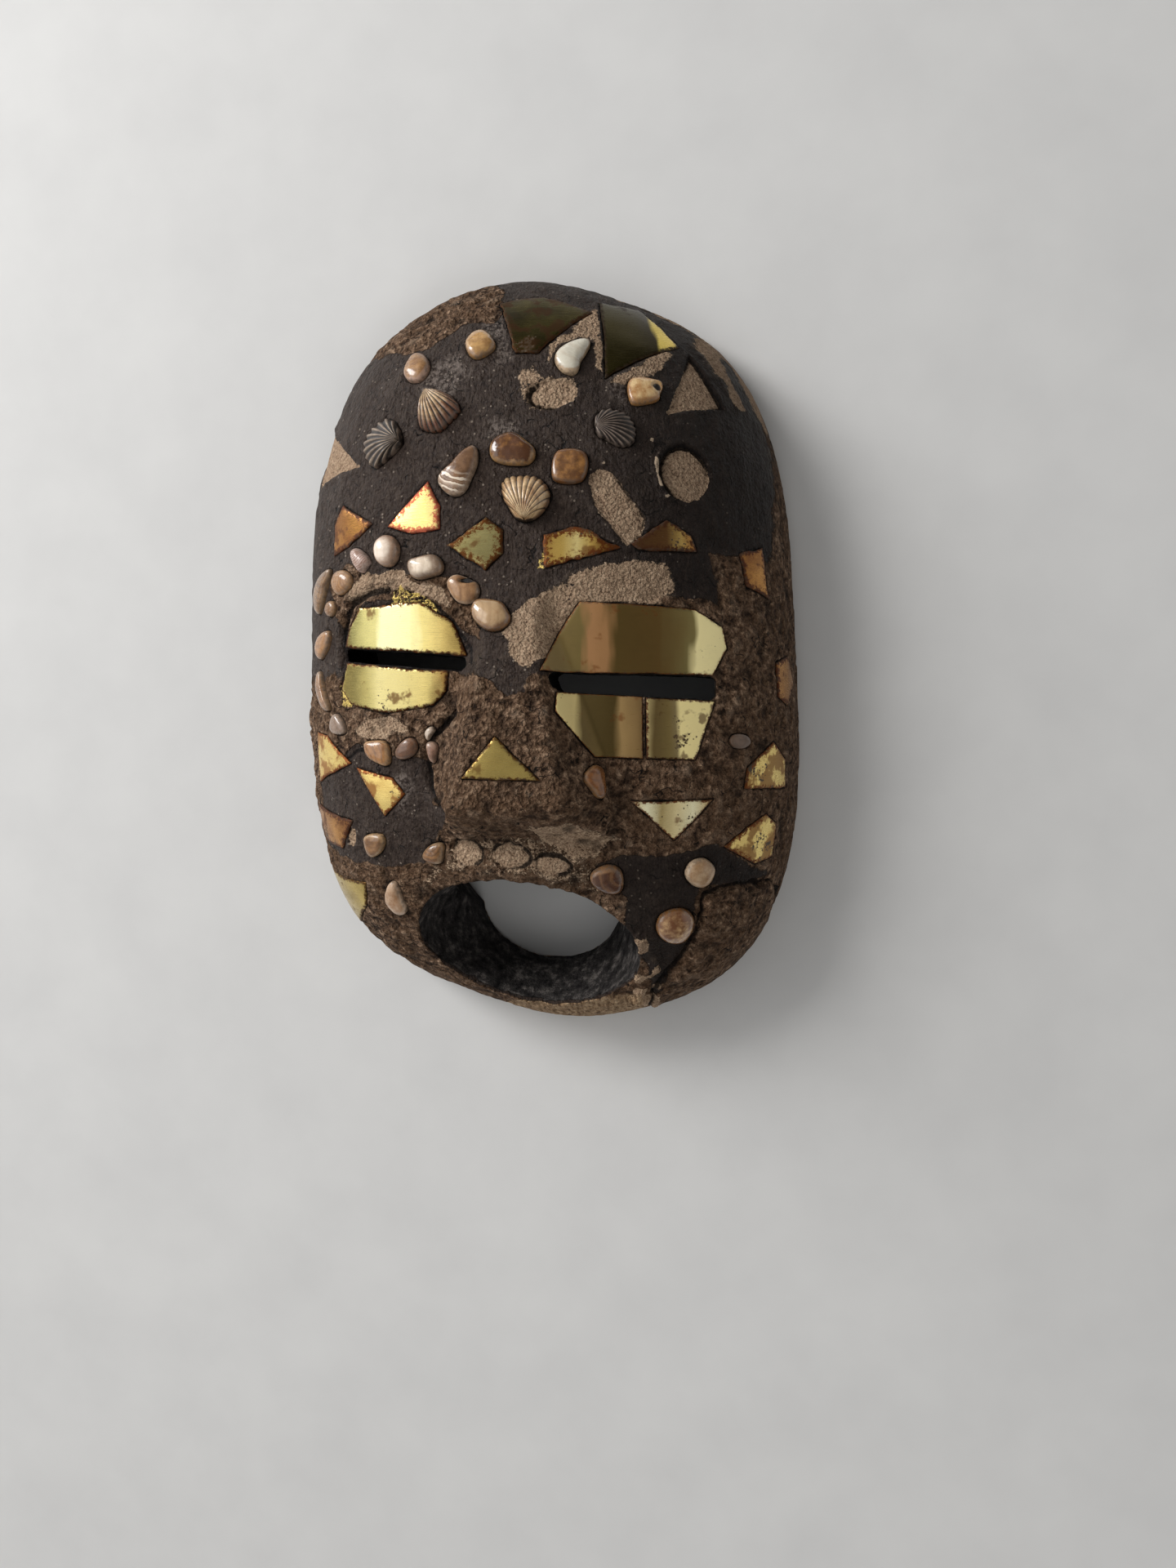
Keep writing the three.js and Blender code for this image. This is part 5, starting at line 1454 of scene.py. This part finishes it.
def work_over(mesh):
    """Moves the skin onto the true face, presses the beds into it and roughens it; hands back its marks."""
    points = mesh_points(mesh)
    normals = mesh_points(mesh, "normal")
    slope = face_slope(points)
    steepness = np.maximum(np.linalg.norm(slope, axis=1), 1e-6)
    outward = slope / steepness[:, None]
    gap = face_level(points) / steepness
    facing = np.einsum("ij,ij->i", normals, outward)
    outer = smooth_between(-np.abs(gap), -3.0, -1.2) * smooth_between(facing, 0.1, 0.6)
    outer *= smooth_between(points[:, 2], 0.3, 2.0)
    on_face = np.abs(gap) < 3
    points = points - outward * np.where(on_face, gap * outer, 0)[:, None]

    here = points[:, :2]
    wander = np.stack([layered(points, 9.0, seed) for seed in (11, 15)], axis=1)
    drift = np.column_stack([here + 2.6 * wander, points[:, 2]])
    steep = smooth_between(outward_share(here[:, 0], here[:, 1]), 0.85, 1.0)
    grit = smooth_between(-drift[:, 1] - 6 * wander[:, 0] + 30 * steep * layered(points, 44.0, 19, 2), 6, 22)
    grit = grit * (1 - zone_share(drift, SMOOTH, 2.4))
    grit = np.maximum(grit, zone_share(drift, GRITTY, 2.8))
    sand = zone_share(drift, SANDY, 2.4)
    crust = bell(sand, 0.45, 0.25) * smooth_between(layered(points, 6.0, 27), -0.4, 0.3)
    sand *= 0.92 + 0.5 * layered(points, 12.0, 29, 2)
    for share, outline in HALF_SANDY:
        sand = np.maximum(sand, share * zone_share(drift, (outline,), 4.0))
    flank = smooth_between(outward_share(here[:, 0], here[:, 1]), 0.95, 0.995)
    right_side = smooth_between(here[:, 0], 0, 60)
    grit = np.maximum(grit, flank * (0.35 + 0.25 * right_side) + 0.4 * flank * layered(points, 18.0, 21))
    worn = flank * right_side * smooth_between(here[:, 1], 85, 110)
    sand = np.maximum(sand, worn * smooth_between(layered(points, 16.0, 25), -0.15, 0.15))
    loose = np.maximum(grit, sand)

    move = 0.8 * layered(points, 34.0, 31, 2) + 0.35 * layered(points, 10.0, 35, 2) + 0.5 * loose - 0.4
    lumps = grit * (1.5 * layered(points, 6.0, 41) + 1.2 * bumps(points, 3.4, 45) - 0.2)
    lumps += sand * 0.6 * layered(points, 4.0, 51, 2) + 0.7 * crust
    strokes = layered(points * np.array([1, 0.3, 0.5]), 4.0, 55, 2) + bumps(points, 4.2, 58)
    lumps += (1 - loose) * 0.5 * strokes
    move += lumps
    # The height of the lumps, kept as a mark so the finish paints shade in their hollows and highlight on
    # their tops
    high = lumps / 0.6
    to_lump = -edge_distance(drift[:, :2] + 2.0 * wander[:, ::-1], LUMP)
    lump = smooth_between(to_lump, -0.4, 1.2)
    move += lump * (3.0 + 1.8 * layered(points, 8.0, 61) + 1.3 * bumps(points, 4.0, 65, -0.2))
    move -= 1.2 * bell(to_lump, -0.9, 0.8)
    crumbs = smooth_between(-edge_distance(here, CRUMBS), -2, 2)
    crumbling = cloud(points, 4.6, 71)
    move += crumbs * (0.8 + 3.4 * np.maximum(crumbling, 0) + 1.6 * bumps(points, 2.8, 75))
    sand = np.maximum(sand, crumbs * smooth_between(crumbling, -0.1, 0.2))
    # Painted shade, with some tar: dark along the groove round the lump and down the creases
    tar_and_shade = bell(to_lump, -0.9, 1.0)
    bone = np.zeros(len(points))
    for path, deep_by, half in GROOVES:
        away = path_distance(here + 0.8 * wander, path)
        move -= deep_by * bell(away, 0, half)
        move += 0.25 * deep_by * bell(away, 2.4 * half, half)
        tar_and_shade = np.maximum(tar_and_shade, bell(away, 0, half * 1.15))

    for bed in beds:
        press_in(bed, points, move, high, sand, tar_and_shade)
    for path in (SLIVER, *((spot, (spot[0] + 0.3, spot[1])) for spot in BONE_CRUMBS)):
        dab = bell(path_distance(here, path) + 0.4 * wander[:, 0], 0, 1.1)
        move += 1.3 * dab
        bone = np.maximum(bone, dab)

    squeeze = smooth_between(outward_share(here[:, 0], here[:, 1]), 0.9, 1.0)
    squeeze = np.maximum(squeeze, smooth_between(points[:, 2], NOSE_TOP - 4, NOSE_TOP))
    move = np.where(move > 0, move * (1 - 0.8 * squeeze), move) - 0.35 * squeeze
    points = points + outward * (move * outer)[:, None]

    inner = 1 - outer
    chisel = 0.5 * layered(points * np.array([1, 0.4, 1]), 9.0, 91) + 0.25 * layered(points, 4.0, 95)
    chisel += crumbs * 1.6 * bumps(points, 4.0, 97)
    above_floor = smooth_between(points[:, 2], 0.2, 3.0)
    points = points + normals * (chisel * inner * above_floor)[:, None]
    points[:, 2] = np.clip(points[:, 2], 0, NOSE_TOP)

    wood = inner * smooth_between(np.abs(gap), 0.8, 2.6)
    in_mouth = smooth_between(-edge_distance(here, MOUTH_ROOM), -2, 2)
    # Painted shade for the inside of the hollow, away from the mouth and the floor
    hollow_shade = smooth_between(np.abs(gap), 0.5, 1.8) * inner * (1 - in_mouth)
    hollow_shade *= smooth_between(points[:, 2], 2.0, 12.0)
    right_shade = smooth_between(here[:, 0], 0, 85) * (0.85 - 0.85 * grit)
    bare = zone_share(points, BARE_WOOD, 3.0) * smooth_between(62 - points[:, 2], 0, 8)
    bare = np.maximum(bare * outer, (1 - above_floor) * 0.8)
    set_points(mesh, points)
    marks = dict(
        grit=grit * outer,
        sand=sand * outer,
        tar_and_shade=np.clip(tar_and_shade, 0, 1) * outer,
        shade=np.clip(right_shade, 0, 1) * outer,
        wood=wood,
        bare=bare,
        hollow_shade=hollow_shade,
        dust=zone_share(drift, DUSTY, 3.0) * outer,
        gilt=zone_share(points, GILT, 0.6) * outer,
        bone=bone * outer,
        high=high * outer,
    )
    return marks, inner


def thin_inside(block, inner):
    """Takes most triangles out of the inside, which has no fine relief."""
    group = block.vertex_groups.new(name="inside")
    for index, share in enumerate(smooth_between(inner, 0.7, 1.0)):
        if share > 0:
            group.add([index], float(share), "REPLACE")
    thin = block.modifiers.new("thin inside", "DECIMATE")
    thin.decimate_type = "COLLAPSE"
    thin.vertex_group = "inside"
    thin.vertex_group_factor = 1000.0
    thin.ratio = INSIDE_RATIO
    thinned = with_modifiers_applied(block)
    block.vertex_groups.clear()
    points = mesh_points(thinned)
    points[:, 2] = np.clip(points[:, 2], 0, NOSE_TOP)
    set_points(thinned, points)


block = carved_block()
marks, inner = work_over(block.data)
set_marks(block.data, **marks)
thin_inside(block, inner)
settle(block, "mask_body", paste)


# Floor, light and camera
def pale_floor():
    bm = bmesh.new()
    bmesh.ops.create_grid(bm, x_segments=8, y_segments=8, size=FLOOR_REACH)
    floor = as_object(bm, "floor")
    material, recipe, shader = new_finish("pale floor")
    tone = recipe.noise(recipe.place(), 0.02, 3.0)
    recipe.feed(shader, {
        "Base Color": recipe.ramp(tone, (0.3, (0.60, 0.60, 0.60)), (0.7, (0.64, 0.64, 0.638))),
        "Roughness": 0.85,
    })
    floor.data.materials.append(material)


def soft_light(name, place, size, power, colour=(1, 1, 1), mirrored=True):
    light = bpy.data.lights.new(name, "AREA")
    light.shape = "RECTANGLE"
    light.size, light.size_y = size
    light.energy = power
    light.color = colour
    lamp = bpy.data.objects.new(name, light)
    lamp.location = place
    lamp.rotation_euler = (-Vector(place)).to_track_quat("-Z", "Y").to_euler()
    lamp.visible_glossy = mirrored
    bpy.context.scene.collection.objects.link(lamp)


def set_sky():
    """A soft room: paler on the left, where the light comes from, and dim on the right."""
    world = bpy.data.worlds.new("studio")
    world.use_nodes = True
    recipe = Recipe(world.node_tree)
    around = recipe.add("ShaderNodeTexCoord").outputs["Generated"]
    sideways = recipe.add("ShaderNodeSeparateXYZ", {"Vector": around}).outputs["X"]
    room = recipe.ramp(
        recipe.between(sideways, -1.0, 1.0),
        (0.0, (0.42, 0.42, 0.42)),
        (0.45, (0.26, 0.26, 0.255)),
        (0.8, (0.12, 0.118, 0.115)),
        (0.93, (0.12, 0.118, 0.115)),
        (1.0, (0.5, 0.48, 0.45)),
    )
    recipe.feed(world.node_tree.nodes["Background"], {"Color": room, "Strength": 1.0})
    bpy.context.scene.world = world


def set_camera():
    """The photograph's view: from a little to the right of the middle, looking down and slightly left."""
    right = Vector((0.98474, -0.00949, -0.17376))
    up = Vector((0.0, 0.99851, -0.05451))
    back = right.cross(up).normalized()
    camera = bpy.data.cameras.new("camera")
    camera.sensor_width = 36.0
    camera.lens = 27.06
    camera.clip_start = 0.01
    eye = bpy.data.objects.new("camera", camera)
    turn = Matrix((right, up, back)).transposed()
    eye.matrix_world = Matrix.Translation((0.1178, -0.0322, 0.577)) @ turn.to_4x4()
    bpy.context.scene.collection.objects.link(eye)
    bpy.context.scene.camera = eye


pale_floor()
soft_light("key", (-1.31, 0.99, 1.37), (0.8, 0.8), 26.0, (1.0, 0.985, 0.96), mirrored=False)
soft_light("fill", (0.35, -1.0, 1.5), (1.2, 0.6), 6.0, (1.0, 0.985, 0.96), mirrored=False)
soft_light("window", (-1.16, 0.20, 0.92), (1.4, 1.05), 4.2, (1.0, 0.99, 0.97))
soft_light("low window", (-1.22, 0.80, 0.51), (0.35, 0.8), 8.5)
set_sky()
set_camera()
bpy.context.scene.view_settings.view_transform = "Standard"
